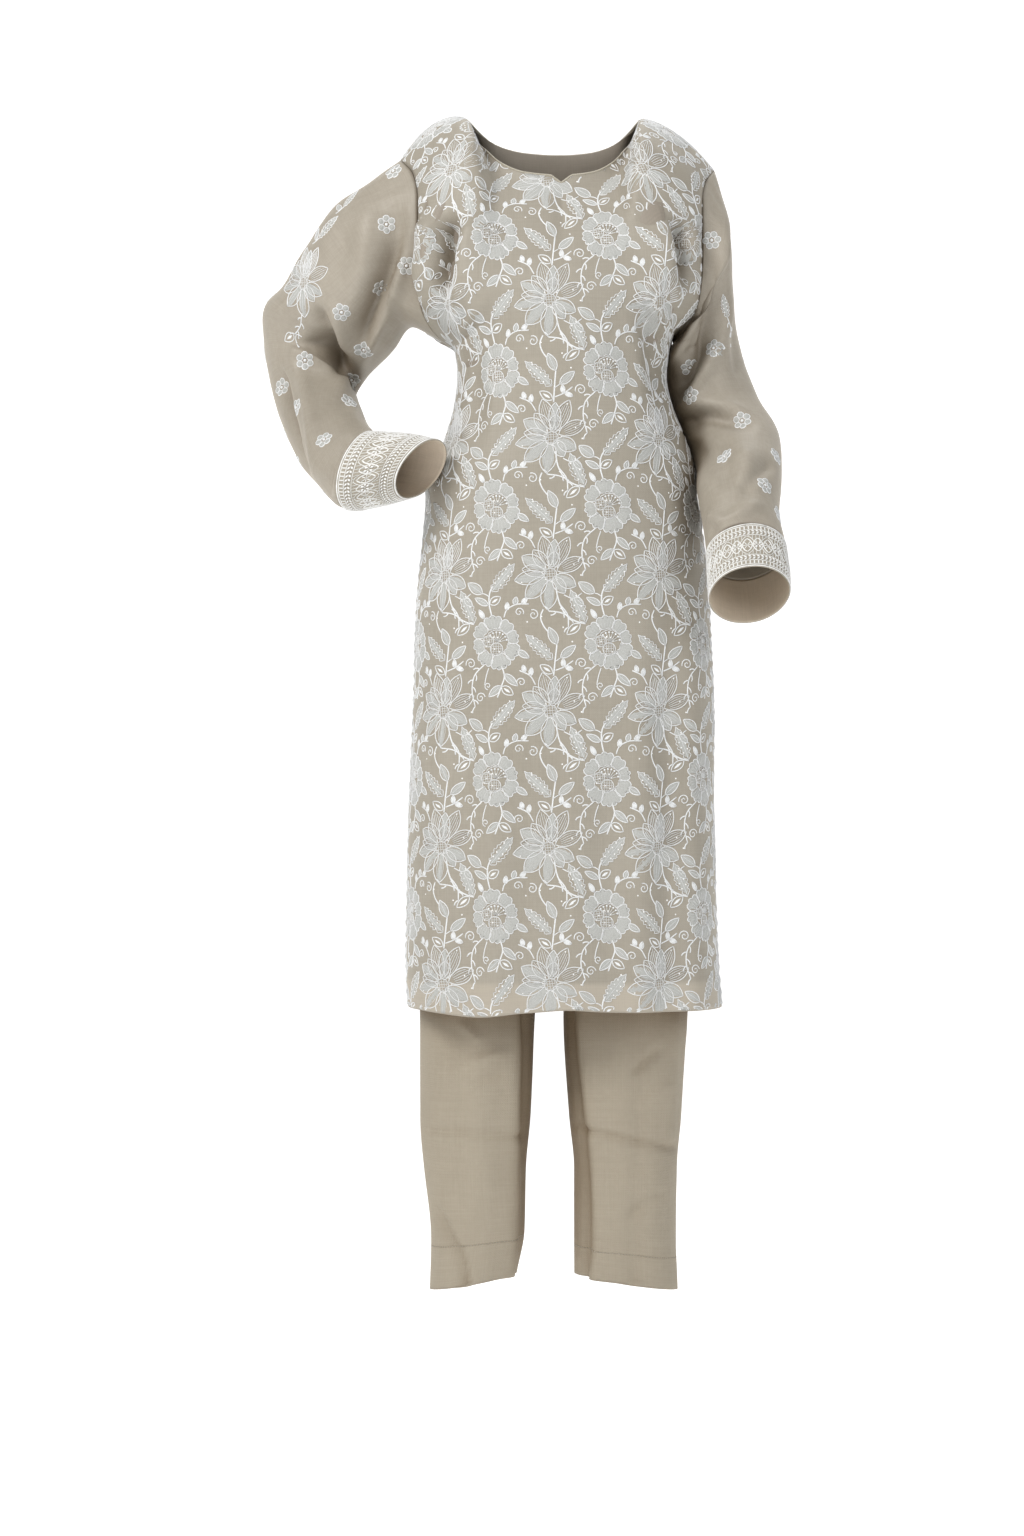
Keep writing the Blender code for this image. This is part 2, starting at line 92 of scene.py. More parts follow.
# armhole edge: share up from the underarm, share of the way out and up, depth each way
Armhole = namedtuple("Armhole", "up out rise front back")
ARMHOLE = [
    Armhole(0.00, 0.00, 0.00, 0.000, 0.000),
    Armhole(0.03, 0.11, 0.01, 0.012, 0.012),
    Armhole(0.12, 0.36, 0.06, 0.029, 0.029),
    Armhole(0.25, 0.57, 0.17, 0.045, 0.046),
    Armhole(0.41, 0.64, 0.36, 0.054, 0.058),
    Armhole(0.59, 0.64, 0.58, 0.056, 0.062),
    Armhole(0.75, 0.65, 0.77, 0.051, 0.058),
    Armhole(0.88, 0.74, 0.90, 0.035, 0.041),
    Armhole(0.97, 0.95, 0.98, 0.016, 0.019),
    Armhole(1.00, 1.00, 1.00, 0.000, 0.000),
]

SHOULDER_TURN = 0.59   # above this share the cloth bends over the shoulder
SHOULDER_CORNER = 1.7  # the chest is less square near the shoulder than at the underarm

# middle line of the chest and back above the underarm: share up, depth each way
Chest = namedtuple("Chest", "up front back")
CHEST = [
    Chest(0.00, 0.128, 0.100), Chest(0.15, 0.130, 0.106), Chest(0.30, 0.128, 0.110),
    Chest(0.45, 0.121, 0.109), Chest(0.60, 0.110, 0.103), Chest(0.75, 0.096, 0.092),
    Chest(0.90, 0.078, 0.076), Chest(1.00, 0.066, 0.064),
]

# neck edge: share across from the middle, share of its full depth, share of its full reach
Neck = namedtuple("Neck", "across drop reach")
NECK = [
    Neck(0.00, 1.00, 1.00), Neck(0.11, 1.00, 0.99), Neck(0.38, 0.95, 0.92),
    Neck(0.62, 0.80, 0.78), Neck(0.85, 0.45, 0.50), Neck(1.00, 0.00, 0.00),
]
FRONT_NECK_DROP = 0.0765
BACK_NECK_DROP = 0.030

# how the columns of a panel spread, from the middle to the side seam
COLUMN_TURN = [0.0, 0.05, 0.16, 0.30, 0.45, 0.62, 0.81, 1.0]

# sleeve rings from the armhole down: where the outer and inner edges of the cloth run, how deep
# the tube is, the degrees it leans toward the front, and how far its middle bows down the arm
Ring = namedtuple("Ring", "outer_x outer_z inner_x inner_z y deep lean bow", defaults=(0.0,))
SLEEVE_RIGHT = [
    Ring(-0.2575, -0.0940, -0.1720, -0.2370, 0.020, 0.058, -12),
    Ring(-0.2950, -0.1385, -0.1950, -0.2585, 0.045, 0.056, -20),
    Ring(-0.3250, -0.1800, -0.2135, -0.2740, 0.070, 0.054, -15),
    Ring(-0.3485, -0.2040, -0.2285, -0.2865, 0.088, 0.052, 0),
    Ring(-0.3505, -0.2430, -0.2405, -0.3045, 0.098, 0.052, 15),  # elbow
    Ring(-0.3405, -0.2975, -0.2380, -0.3185, 0.088, 0.050, 30),
    Ring(-0.3240, -0.3500, -0.2300, -0.3345, 0.050, 0.047, 38),
    Ring(-0.3035, -0.3920, -0.2230, -0.3500, 0.015, 0.045, 38),
    Ring(-0.2770, -0.4240, -0.2165, -0.3610, -0.020, 0.044, 34),
    Ring(-0.2465, -0.4525, -0.2135, -0.3675, -0.060, 0.043, 28),  # the cuff starts
    Ring(-0.2145, -0.4510, -0.1750, -0.3720, -0.085, 0.041, 28),
    Ring(-0.1825, -0.4415, -0.1345, -0.3825, -0.105, 0.039, 28),
]
SLEEVE_LEFT = [
    Ring(0.1865, -0.1000, 0.1400, -0.2550, 0.005, 0.062, 0, 0.014),
    Ring(0.1945, -0.1460, 0.1300, -0.2650, 0.014, 0.067, 0, 0.010),
    Ring(0.1985, -0.1950, 0.1220, -0.2770, 0.025, 0.068, 0, 0.004),
    Ring(0.2020, -0.2370, 0.1180, -0.2950, 0.031, 0.067, 4),
    Ring(0.2090, -0.2670, 0.1200, -0.3130, 0.031, 0.066, 8),
    Ring(0.2285, -0.3225, 0.1325, -0.3475, 0.024, 0.062, 18),
    Ring(0.2475, -0.3565, 0.1470, -0.3840, 0.006, 0.058, 28),  # elbow
    Ring(0.2500, -0.3820, 0.1570, -0.4115, -0.027, 0.053, 36),
    Ring(0.2450, -0.4280, 0.1560, -0.4450, -0.080, 0.048, 40),
    Ring(0.2400, -0.4700, 0.1565, -0.4790, -0.110, 0.045, 42),
    Ring(0.2465, -0.5020, 0.1580, -0.5110, -0.128, 0.044, 42),  # the cuff starts
    Ring(0.2480, -0.5260, 0.1580, -0.5365, -0.147, 0.044, 42),
    Ring(0.2475, -0.5500, 0.1585, -0.5620, -0.167, 0.044, 42),
]
CAP_SHARE = 0.42  # one more ring lies this share of the way from the armhole to the first
CUFF_RINGS = 3    # the last rings of each table belong to the lace cuff

# the legs: where the outer and inner edges of each run, and their depth each way
Leg = namedtuple("Leg", "z right_outer right_inner left_outer left_inner front back")
LEGS = [
    Leg(TROUSER_HEM, -0.1520, -0.0520, 0.1330, 0.0140, 0.058, 0.060),
    Leg(-1.280, -0.1505, -0.0430, 0.1310, 0.0138, 0.059, 0.062),
    Leg(-1.206, -0.1585, -0.0414, 0.1320, 0.0138, 0.062, 0.066),
    Leg(-1.144, -0.1630, -0.0360, 0.1370, 0.0080, 0.066, 0.072),
    Leg(-1.030, -0.1632, -0.0310, 0.1440, 0.0015, 0.072, 0.080),
    Leg(-0.900, -0.1630, -0.0190, 0.1550, 0.0018, 0.082, 0.090),
    Leg(-0.780, -0.1640, -0.0070, 0.1620, 0.0019, 0.092, 0.100),
    Leg(CROTCH, -0.1640, -0.0020, 0.1640, 0.0020, 0.100, 0.106),
]

# above the crotch: half the width, depth each way, and how far the two legs have become one
Hip = namedtuple("Hip", "z half front back joined")
HIPS = [
    Hip(-0.645, 0.1610, 0.106, 0.113, 0.55),
    Hip(-0.590, 0.1570, 0.107, 0.114, 1.00),
    Hip(-0.520, 0.1500, 0.104, 0.105, 1.00),
    Hip(WAIST_SEAM, 0.1360, 0.098, 0.086, 1.00),
]
HIP_CORNER = 2.3


# ---- the forms, on arrays ------------------------------------------------------------------
def smooth(t):
    t = np.clip(t, 0.0, 1.0)
    return t * t * (3.0 - 2.0 * t)


def mix(a, b, share):
    return a + (b - a) * share


def before(marks, places):
    """Which mark comes just before each place; past the end it is the last mark but one."""
    return np.clip(np.searchsorted(marks, places, side="right") - 1, 0, len(marks) - 2)


def soft_step(t, span, low, low_slope, high, high_slope):
    """A soft curve at a share t of the way between two of its points."""
    return ((2 * t ** 3 - 3 * t ** 2 + 1) * low + (t ** 3 - 2 * t ** 2 + t) * span * low_slope
            + (3 * t ** 2 - 2 * t ** 3) * high + (t ** 3 - t ** 2) * span * high_slope)


def lengths_along(line):
    """How far along a line each of its points lies."""
    return np.concatenate([[0.0], np.cumsum(np.linalg.norm(np.diff(line, axis=0), axis=1))])


def between(grid, rows, columns, row_share, column_share):
    """Values of a grid between its points; rows and columns are pairs of neighbours."""
    (r0, r1), (c0, c1) = rows, columns
    return (grid[r0, c0] * (1 - row_share) * (1 - column_share)
            + grid[r1, c0] * row_share * (1 - column_share)
            + grid[r0, c1] * (1 - row_share) * column_share
            + grid[r1, c1] * row_share * column_share)


class Curve:
    """A soft curve through points, read at any values of x."""

    def __init__(self, xs, ys):
        order = np.argsort(xs)
        self.x, self.y = np.array(xs, float)[order], np.array(ys, float)[order]
        step = np.diff(self.y) / np.diff(self.x)
        both, total = step[:-1] * step[1:], step[:-1] + step[1:]
        inner = np.where(both > 0, 2.0 * both / np.where(both > 0, total, 1.0), 0.0)
        self.slope = np.concatenate([[step[0]], inner, [step[-1]]])

    def __call__(self, at):
        at = np.clip(np.asarray(at, float), self.x[0], self.x[-1])
        i = before(self.x, at)
        span = self.x[i + 1] - self.x[i]
        t = (at - self.x[i]) / span
        return soft_step(t, span, self.y[i], self.slope[i], self.y[i + 1], self.slope[i + 1])


def column(rows, key):
    """One Curve for each other column of a table."""
    xs = [getattr(r, key) for r in rows]
    return {name: Curve(xs, [getattr(r, name) for r in rows])
            for name in rows[0]._fields if name != key}


BODY_AT = column(BODY, "z")
ARM_AT = column(ARMHOLE, "up")
CHEST_AT = column(CHEST, "up")
NECK_AT = {name: Curve(range(len(NECK)), [getattr(n, name) for n in NECK])
           for name in Neck._fields}
TURN_AT = Curve(range(len(COLUMN_TURN)), COLUMN_TURN)
LAST_NECK = len(NECK) - 1
LAST_COLUMN = len(COLUMN_TURN) - 1
MIDDLE_TOP = -0.002  # the middle of the neck edge, across


def stack(x, y, z):
    x, y, z = np.broadcast_arrays(x, y, z)
    return np.stack([x, y, z], axis=-1).astype(float)


def way_of(face):
    return "front" if face < 0 else "back"


def armhole_points(side, up, face):
    return stack(mix(side.under_x, side.tip_x, ARM_AT["out"](up)),
                 face * ARM_AT[way_of(face)](up),
                 mix(side.under_z, side.tip_z, ARM_AT["rise"](up)))


def skirt_points(z, turn, way, face):
    power = 2.0 / BODY_AT["corner"](z)
    a = turn * math.pi / 2.0
    return stack(BODY_AT["middle"](z) + way * BODY_AT["half"](z) * np.sin(a) ** power,
                 face * BODY_AT[way_of(face)](z) * np.clip(np.cos(a), 0.0, 1.0) ** power, z)


def top_points(side, col, face):
    drop = FRONT_NECK_DROP if face < 0 else BACK_NECK_DROP
    reach = CHEST[-1].front if face < 0 else CHEST[-1].back
    at = np.minimum(col, LAST_NECK)
    x = mix(MIDDLE_TOP, side.neck_x, NECK_AT["across"](at))
    notch = 0.0
    if face < 0:
        notch = NOTCH_DEPTH * np.clip(1.0 - np.abs(x - MIDDLE_TOP) / NOTCH_HALF, 0.0, 1.0)
    z = side.neck_z - drop * NECK_AT["drop"](at) - notch
    y = face * reach * NECK_AT["reach"](at)
    s = np.clip((col - LAST_NECK) / (LAST_COLUMN - LAST_NECK), 0.0, 1.0)
    seam_z = (side.neck_z * (1 - s) * (1 - 2 * s) + 4 * side.mid_z * s * (1 - s)
              + side.tip_z * s * (2 * s - 1))
    seam = col > LAST_NECK
    return stack(np.where(seam, mix(side.neck_x, side.tip_x, s), x),
                 np.where(seam, 0.0, y), np.where(seam, seam_z, z))


def chest_points(side, up, col, face):
    way = way_of(face)
    top = top_points(side, col, face)
    turn = TURN_AT(col)
    level = mix(BODY[0].z, side.under_z, turn)
    low = skirt_points(BODY[0].z, turn, side.way, face)
    edge = armhole_points(side, up, face)
    low_share = (low[..., 0] - BODY[0].middle) / (side.under_x - BODY[0].middle)
    top_share = (top[..., 0] - MIDDLE_TOP) / (side.tip_x - MIDDLE_TOP)
    share = np.clip(mix(low_share, top_share, smooth(up)), 0.0, 1.0)
    x = mix(mix(BODY[0].middle, MIDDLE_TOP, up), edge[..., 0], share)
    neck_share = (side.neck_x - MIDDLE_TOP) / (side.tip_x - MIDDLE_TOP)
    rounded = mix(smooth((share - 0.75) / 0.25), smooth((share / neck_share - 0.75) / 0.25),
                  smooth((up - 0.3) / 0.3))
    z = mix(level, top[..., 2], mix(up, ARM_AT["rise"](up), rounded))
    corner = mix(BODY[0].corner, SHOULDER_CORNER, up)
    full = np.clip(1.0 - share ** corner, 0.0, 1.0) ** (1.0 / corner)
    y = mix(np.abs(edge[..., 1]), CHEST_AT[way](up), full)
    y = mix(y, np.abs(top[..., 1]), up ** 4)
    widest = np.minimum(up, SHOULDER_TURN)
    over = mix(ARM_AT[way](widest), CHEST_AT[way](widest), full)
    over = over * ARM_AT[way](np.maximum(up, SHOULDER_TURN)) / ARM_AT[way](SHOULDER_TURN)
    return stack(x, face * mix(y, over, rounded), z)


# ---- grids of the body ---------------------------------------------------------------------
SKIRT_ROWS, CHEST_ROWS = 190, 62
HALF_COLUMNS = 48
HIP_LEVEL = -0.6


def even_columns():
    """Column values that lie evenly apart across the cloth at the hip."""
    fine = np.linspace(0.0, LAST_COLUMN, 1401)
    line = skirt_points(HIP_LEVEL, TURN_AT(fine), 1, -1)
    far = lengths_along(line)
    return np.interp(np.linspace(0.0, far[-1], HALF_COLUMNS + 1), far, fine)


def body_grid(face):
    """Rows from the hem up; columns so that across x up points outward."""
    cols = even_columns()
    halves = []
    share = np.linspace(0.0, 1.0, SKIRT_ROWS + 1)[:, None]
    ups = (1.0 - np.cos(np.pi * np.linspace(0.0, 1.0, CHEST_ROWS + 1)))[1:, None] / 2.0
    for side in (RIGHT, LEFT):
        col = cols[None, :]
        turn = TURN_AT(col)
        level = mix(BODY[0].z, side.under_z, turn)
        low = skirt_points(mix(HEM_LEVEL, level, share), turn + 0.0 * share, side.way, face)
        high = chest_points(side, ups + 0.0 * col, col + 0.0 * ups, face)
        halves.append(np.concatenate([low, high], axis=0))
    right, left = halves
    grid = np.concatenate([right[:, ::-1], left[:, 1:]], axis=1)
    away = np.concatenate([cols[::-1], cols[1:]])
    grid[..., 1] += face * SEAM_GAP / 2.0
    up = np.concatenate([np.zeros(SKIRT_ROWS + 1), ups[:, 0]])
    if face > 0:
        grid, away = grid[:, ::-1].copy(), away[::-1]
    return grid, away, up


def outward(grid, ring=False):
    up = np.gradient(grid, axis=0)
    if ring:
        across = np.roll(grid, -1, axis=1) - np.roll(grid, 1, axis=1)
    else:
        across = np.gradient(grid, axis=1)
    n = np.cross(across, up)
    return n / (np.linalg.norm(n, axis=2, keepdims=True) + 1e-12)


# ---- creases -------------------------------------------------------------------------------
# millimetres.  line: points across and up the cloth as it hangs; deep: a ridge stands out, a
# trough is negative; soft and steep: how wide its two sides are, left and right of the line's
# run; fade_in and fade_out are shares of its length
Fold = namedtuple("Fold", "line deep soft steep fade_in fade_out")


def soft_line(points, count):
    """A soft curve through a few points of any dimension."""
    pts = np.array(points, float)
    if len(pts) < 3:
        return pts[0] + (pts[-1] - pts[0]) * np.linspace(0.0, 1.0, count)[:, None]
    far = lengths_along(pts)
    tangent = np.gradient(pts, far, axis=0)
    places = np.linspace(0.0, far[-1], count)
    i = before(far, places)
    span = (far[i + 1] - far[i])[:, None]
    t = (places[:, None] - far[i][:, None]) / span
    return soft_step(t, span, pts[i], tangent[i], pts[i + 1], tangent[i + 1])


def fold_height(x, z, fold):
    """How far one fold lifts the cloth at each place."""
    line = soft_line(fold.line, 9) * MM
    best = np.full(x.shape, 1e9)
    side = np.ones(x.shape)
    along = np.zeros(x.shape)
    steps = len(line) - 1
    for i in range(steps):
        (ax, az), (bx, bz) = line[i], line[i + 1]
        dx, dz = bx - ax, bz - az
        size = dx * dx + dz * dz
        t = np.clip(((x - ax) * dx + (z - az) * dz) / size, 0.0, 1.0)
        gap = np.hypot(x - ax - t * dx, z - az - t * dz)
        near = gap < best
        best = np.where(near, gap, best)
        side = np.where(near, np.sign(dx * (z - az) - dz * (x - ax)), side)
        along = np.where(near, (i + t) / steps, along)
    wide = np.where(side > 0, fold.soft, fold.steep) * MM
    ends = smooth(along / max(fold.fade_in, 1e-3)) * smooth((1.0 - along) / max(fold.fade_out, 1e-3))
    return fold.deep * MM * np.exp(-(best / wide) ** 2) * ends


# gentle unevenness of each cloth: how long its waves are, and how far they stand out
RIPPLES = {"body": (0.045, 0.0007), "sleeve": (0.030, 0.0011), "cuff": (0.028, 0.0007),
           "trousers": (0.038, 0.0012)}


def ripple(p, cloth, seed):
    """How far a cloth's gentle unevenness stands out, the same at each run."""
    size, high = RIPPLES[cloth]
    x, y, z = p[..., 0] / size, p[..., 1] / size, p[..., 2] / size
    total = 0.0
    for k in range(5):
        a = 1.7 * k + seed
        total = total + np.sin(x * (1.1 + 0.37 * k) * math.cos(a) * 2 + z * (0.9 + 0.31 * k)
                               * math.sin(a) * 2 + y * (1.3 + 0.2 * k) + 2.1 * a) / (1.0 + 0.5 * k)
    return total / 2.6 * high


def lift(grid, folds, hold, face, ring=False):
    """Raise the cloth along its own direction by its folds; hold is 0 where a seam keeps it."""
    n = outward(grid, ring)
    # a fold of the front fades where the cloth turns away to the side
    facing = np.clip(face * n[..., 1] * 2.2, 0.0, 1.0)
    rise = np.zeros(grid.shape[:2])
    for fold in folds:
        rise += fold_height(grid[..., 0], grid[..., 2], fold)
    return grid + n * (rise * facing * hold)[..., None]


def ease(grid, weight, rounds):
    """Soften a form where the weight says; its edges stay where they are."""
    grid = grid.copy()
    w = weight[1:-1, 1:-1, None] * 0.5
    for _ in range(rounds):
        mean = (grid[:-2, 1:-1] + grid[2:, 1:-1] + grid[1:-1, :-2] + grid[1:-1, 2:]) / 4.0
        grid[1:-1, 1:-1] += w * (mean - grid[1:-1, 1:-1])
    return grid


FRONT_FOLDS = [
    # the bust: each side stands proud of the armhole, with a deep fall beside it
    Fold([(-158, -110), (-170, -180), (-175, -255)], 16, 30, 0, 0.2, 0.3),
    Fold([(-101, -120), (-112, -175), (-119, -255)], 13, 30, 9, 0.22, 0.3),
    Fold([(-121, -120), (-128, -160), (-131, -225)], -22, 9, 12, 0.28, 0.35),
    Fold([(-150, -125), (-142, -150), (-124, -168)], 6, 8, 10, 0.4, 0.3),
    Fold([(-158, -168), (-148, -192), (-130, -212)], 6, 8, 10, 0.4, 0.3),
    Fold([(106, -125), (121, -182), (125, -240)], 12, 8, 30, 0.22, 0.3),
    Fold([(130, -125), (133, -160), (132, -215)], -20, 11, 9, 0.28, 0.35),
    Fold([(152, -130), (146, -155), (132, -172)], 5, 10, 8, 0.4, 0.3),
    # short pulls that run in from the underarm
    Fold([(-121, -262), (-98, -238), (-72, -208)], 4, 7, 6, 0.2, 0.7),
    Fold([(-122, -278), (-96, -262), (-68, -248)], 3, 6, 7, 0.2, 0.7),
    Fold([(-120, -296), (-100, -288), (-78, -285)], -3, 6, 6, 0.2, 0.7),
    Fold([(124, -250), (103, -232), (84, -207)], 4, 6, 7, 0.2, 0.7),
    Fold([(122, -272), (100, -262), (75, -256)], -3, 6, 6, 0.2, 0.7),
    # soft falls at the waist, near the sides
    Fold([(91, -190), (112, -262), (126, -330)], 5, 11, 10, 0.3, 0.5),
    Fold([(88, -215), (101, -285), (108, -352)], -5, 10, 11, 0.4, 0.4),
    Fold([(71, -225), (86, -300), (92, -380)], 4, 10, 13, 0.4, 0.5),
    Fold([(-116, -262), (-108, -318), (-124, -378)], 5, 12, 9, 0.3, 0.4),
    Fold([(-102, -272), (-94, -330), (-104, -392)], -4, 9, 11, 0.3, 0.5),
    Fold([(-86, -285), (-79, -345), (-86, -415)], 3, 11, 12, 0.4, 0.5),
    # long soft falls of the skirt
    Fold([(-135, -455), (-139, -700), (-142, -1030)], 4.5, 20, 14, 0.35, 0.02),
    Fold([(-109, -520), (-112, -780), (-108, -1030)], -4.5, 15, 19, 0.4, 0.02),
    Fold([(-76, -600), (-78, -820), (-73, -1030)], 3, 22, 17, 0.5, 0.02),
    Fold([(-45, -680), (-43, -860), (-49, -1030)], -3, 16, 20, 0.5, 0.02),
    Fold([(10, -720), (12, -880), (6, -1030)], 3.5, 24, 18, 0.5, 0.02),
    Fold([(46, -640), (48, -840), (52, -1030)], -3.5, 17, 20, 0.5, 0.02),
    Fold([(82, -560), (88, -790), (84, -1030)], 4, 20, 15, 0.4, 0.02),
    Fold([(112, -500), (118, -740), (116, -1030)], -5, 14, 18, 0.4, 0.02),
    Fold([(140, -450), (146, -700), (148, -1030)], 4.5, 16, 13, 0.3, 0.02),
    # faint sideways pulls over the belly
    Fold([(-130, -400), (-40, -418), (60, -410)], 1.6, 12, 16, 0.4, 0.5),
    Fold([(128, -430), (50, -452), (-30, -455)], 1.4, 14, 14, 0.4, 0.5),
]
BACK_FOLDS = [
    Fold([(-108, -110), (-116, -175), (-112, -250)], 7, 14, 22, 0.3, 0.4),
    Fold([(104, -120), (114, -180), (112, -245)], 7, 22, 14, 0.3, 0.4),
    Fold([(-80, -225), (-30, -262), (28, -270)], 3, 10, 14, 0.3, 0.5),
    Fold([(90, -240), (40, -288), (-15, -300)], 3, 12, 10, 0.3, 0.5),
    Fold([(-96, -300), (-30, -335), (45, -330)], -3, 10, 14, 0.3, 0.4),
    Fold([(-112, -330), (-103, -420), (-116, -560)], 5, 14, 11, 0.3, 0.5),
    Fold([(108, -335), (100, -430), (110, -590)], 5, 12, 14, 0.3, 0.5),
    Fold([(-58, -370), (-52, -520), (-60, -760)], -4, 17, 22, 0.4, 0.5),
    Fold([(60, -360), (52, -500), (62, -700)], -4, 20, 16, 0.4, 0.5),
    Fold([(-130, -560), (-133, -780), (-138, -1030)], 5.5, 18, 15, 0.35, 0.02),
    Fold([(-95, -600), (-97, -820), (-92, -1030)], -5, 16, 20, 0.4, 0.02),
    Fold([(-50, -700), (-48, -870), (-55, -1030)], 4.5, 22, 16, 0.5, 0.02),
    Fold([(-8, -540), (-4, -780), (-10, -1030)], -4, 18, 22, 0.4, 0.02),
    Fold([(36, -640), (40, -840), (34, -1030)], 4.5, 16, 20, 0.5, 0.02),
    Fold([(76, -620), (80, -820), (84, -1030)], -5, 18, 15, 0.4, 0.02),
    Fold([(118, -560), (124, -780), (120, -1030)], 5.5, 15, 19, 0.4, 0.02),
]


# where the chest passes into the skirt it is softened: level, reach, and how many times
UNDERARM_EASE = (-0.255, 0.050, 90)
# the side seams are drawn up a little by their stitching: how deep, how long a wave, and
# how many columns from the seam it reaches
PUCKER_DEEP, PUCKER_LONG, PUCKER_WIDE = 0.0009, 0.0021, 0.42


def body_cloth(face):
    """The body's outer surface with its creases, and what the needlework needs to know of it."""
    grid, away, up = body_grid(face)
    side = smooth((LAST_COLUMN - away) / 0.55)[None, :]
    top = smooth((1.0 - up) / 0.10)[:, None]
    neck = 1.0 - (1.0 - smooth((1.0 - up) / 0.16))[:, None] * (away < LAST_NECK)[None, :]
    hold = side * top * neck
    level, reach, rounds = UNDERARM_EASE
    grid = ease(grid, np.exp(-((grid[..., 2] - level) / reach) ** 2), rounds)
    grid = lift(grid, FRONT_FOLDS if face < 0 else BACK_FOLDS, hold, face)
    n = outward(grid)
    lower = smooth((-0.30 - grid[..., 2]) / 0.10)
    grid = grid + n * (ripple(grid, "body", 2.0 + face) * hold)[..., None]
    z = grid[..., 2]
    beat = np.sin(z / PUCKER_LONG + 1.4 * np.sin(z * 31.0) + 0.9 * np.sin(z * 73.0))
    near = np.exp(-((LAST_COLUMN - away) / PUCKER_WIDE) ** 2)[None, :]
    size = PUCKER_DEEP * (1.0 + 0.5 * np.sin(z * 19.0 + 1.0))
    n[..., 1] *= np.where(away >= LAST_COLUMN, 0.0, 1.0)[None, :]
    grid = grid + n * (beat * near * size * lower)[..., None]
    return grid, away, up


# ---- shells --------------------------------------------------------------------------------
def new_mesh(name, verts, faces, place, materials, kinds=None, low=None):
    """A smooth mesh; place is its flat cloth, kinds its materials, low tells its underside."""
    mesh = bpy.data.meshes.new(name)
    mesh.from_pydata([tuple(v) for v in verts], [], [tuple(f) for f in faces])
    if place is not None:
        index = np.empty(len(mesh.loops), dtype=np.int32)
        mesh.loops.foreach_get("vertex_index", index)
        layer = mesh.uv_layers.new(name="cloth")
        layer.data.foreach_set("uv", np.asarray(place, float)[index].ravel())
    for material in materials:
        mesh.materials.append(material)
    if kinds is not None:
        mesh.polygons.foreach_set("material_index", np.asarray(kinds, dtype=np.int32))
    mesh.polygons.foreach_set("use_smooth", np.ones(len(mesh.polygons), dtype=bool))
    if low is not None:
        # the underside meets the rim at a crisp edge, so that the top keeps its own shading
        ends = np.empty(2 * len(mesh.edges), dtype=np.int32)
        mesh.edges.foreach_get("vertices", ends)
        crisp = mesh.attributes.new("sharp_edge", "BOOLEAN", "EDGE")
        crisp.data.foreach_set("value", np.asarray(low)[ends.reshape(-1, 2)].all(axis=1))
    mesh.update()
    piece = bpy.data.objects.new(name, mesh)
    bpy.context.scene.collection.objects.link(piece)
    return piece


def grid_faces(tall, wide, ring=False):
    r = np.arange(tall - 1)[:, None]
    c = np.arange(wide if ring else wide - 1)[None, :]
    a = r * wide + c
    b = r * wide + (c + 1) % wide
    return np.stack([a, b, b + wide, a + wide], axis=-1).reshape(-1, 4)


def shell(name, grid, place, material, thick, ring=False, inside=None):
    """A sheet of cloth with a real thickness; the grid is its outer surface."""
    tall, wide = grid.shape[:2]
    if ring:
        # the cut edge of the flat cloth is closed into the seam of the tube
        grid = np.concatenate([grid, grid[:, :1]], axis=1)
        wide += 1
    piece = new_mesh(name, grid.reshape(-1, 3), grid_faces(tall, wide),
                     place.reshape(-1, 2), [material, inside] if inside else [material])
    bpy.context.view_layer.objects.active = piece
    if ring:
        weld = piece.modifiers.new("seam", "WELD")
        weld.merge_threshold = 0.01 * MM
        bpy.ops.object.modifier_apply(modifier=weld.name)
    wall = piece.modifiers.new("cloth", "SOLIDIFY")
    wall.thickness, wall.offset = thick, -1.0
    wall.material_offset = 1 if inside else 0
    bpy.ops.object.modifier_apply(modifier=wall.name)
    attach(piece, "root")
    return piece


def arc_place(grid, middle_column):
    """Flat cloth position of each grid point: along its row and up its column."""
    across = np.linalg.norm(np.diff(grid, axis=1), axis=2)
    s = np.concatenate([np.zeros((len(grid), 1)), np.cumsum(across, axis=1)], axis=1)
    s = s - s[:, middle_column:middle_column + 1]
    up = np.linalg.norm(np.diff(grid, axis=0), axis=2)
    t = np.concatenate([np.zeros((1, grid.shape[1])), np.cumsum(up, axis=0)], axis=0)
    return np.stack([s, np.broadcast_to(t.mean(axis=1, keepdims=True), t.shape)], axis=-1)


# the hem doesn't hang quite level: where across, how wide, and how far it is lifted there
HEM_SWAY = [(0.005, 0.030, 0.003), (-0.100, 0.040, -0.006)]
SWAY_REACH = 0.070  # the sway has faded this far above the hem


def hem_sway(points):
    """The same points, lifted or lowered with the hem near them."""
    x, z = points[..., 0], points[..., 2]
    rise = sum(high * np.exp(-((x - place) / wide) ** 2) for place, wide, high in HEM_SWAY)
    near = smooth((HEM_LEVEL + SWAY_REACH - z) / SWAY_REACH)
    return points + stack(0.0 * x, 0.0 * x, rise * near)


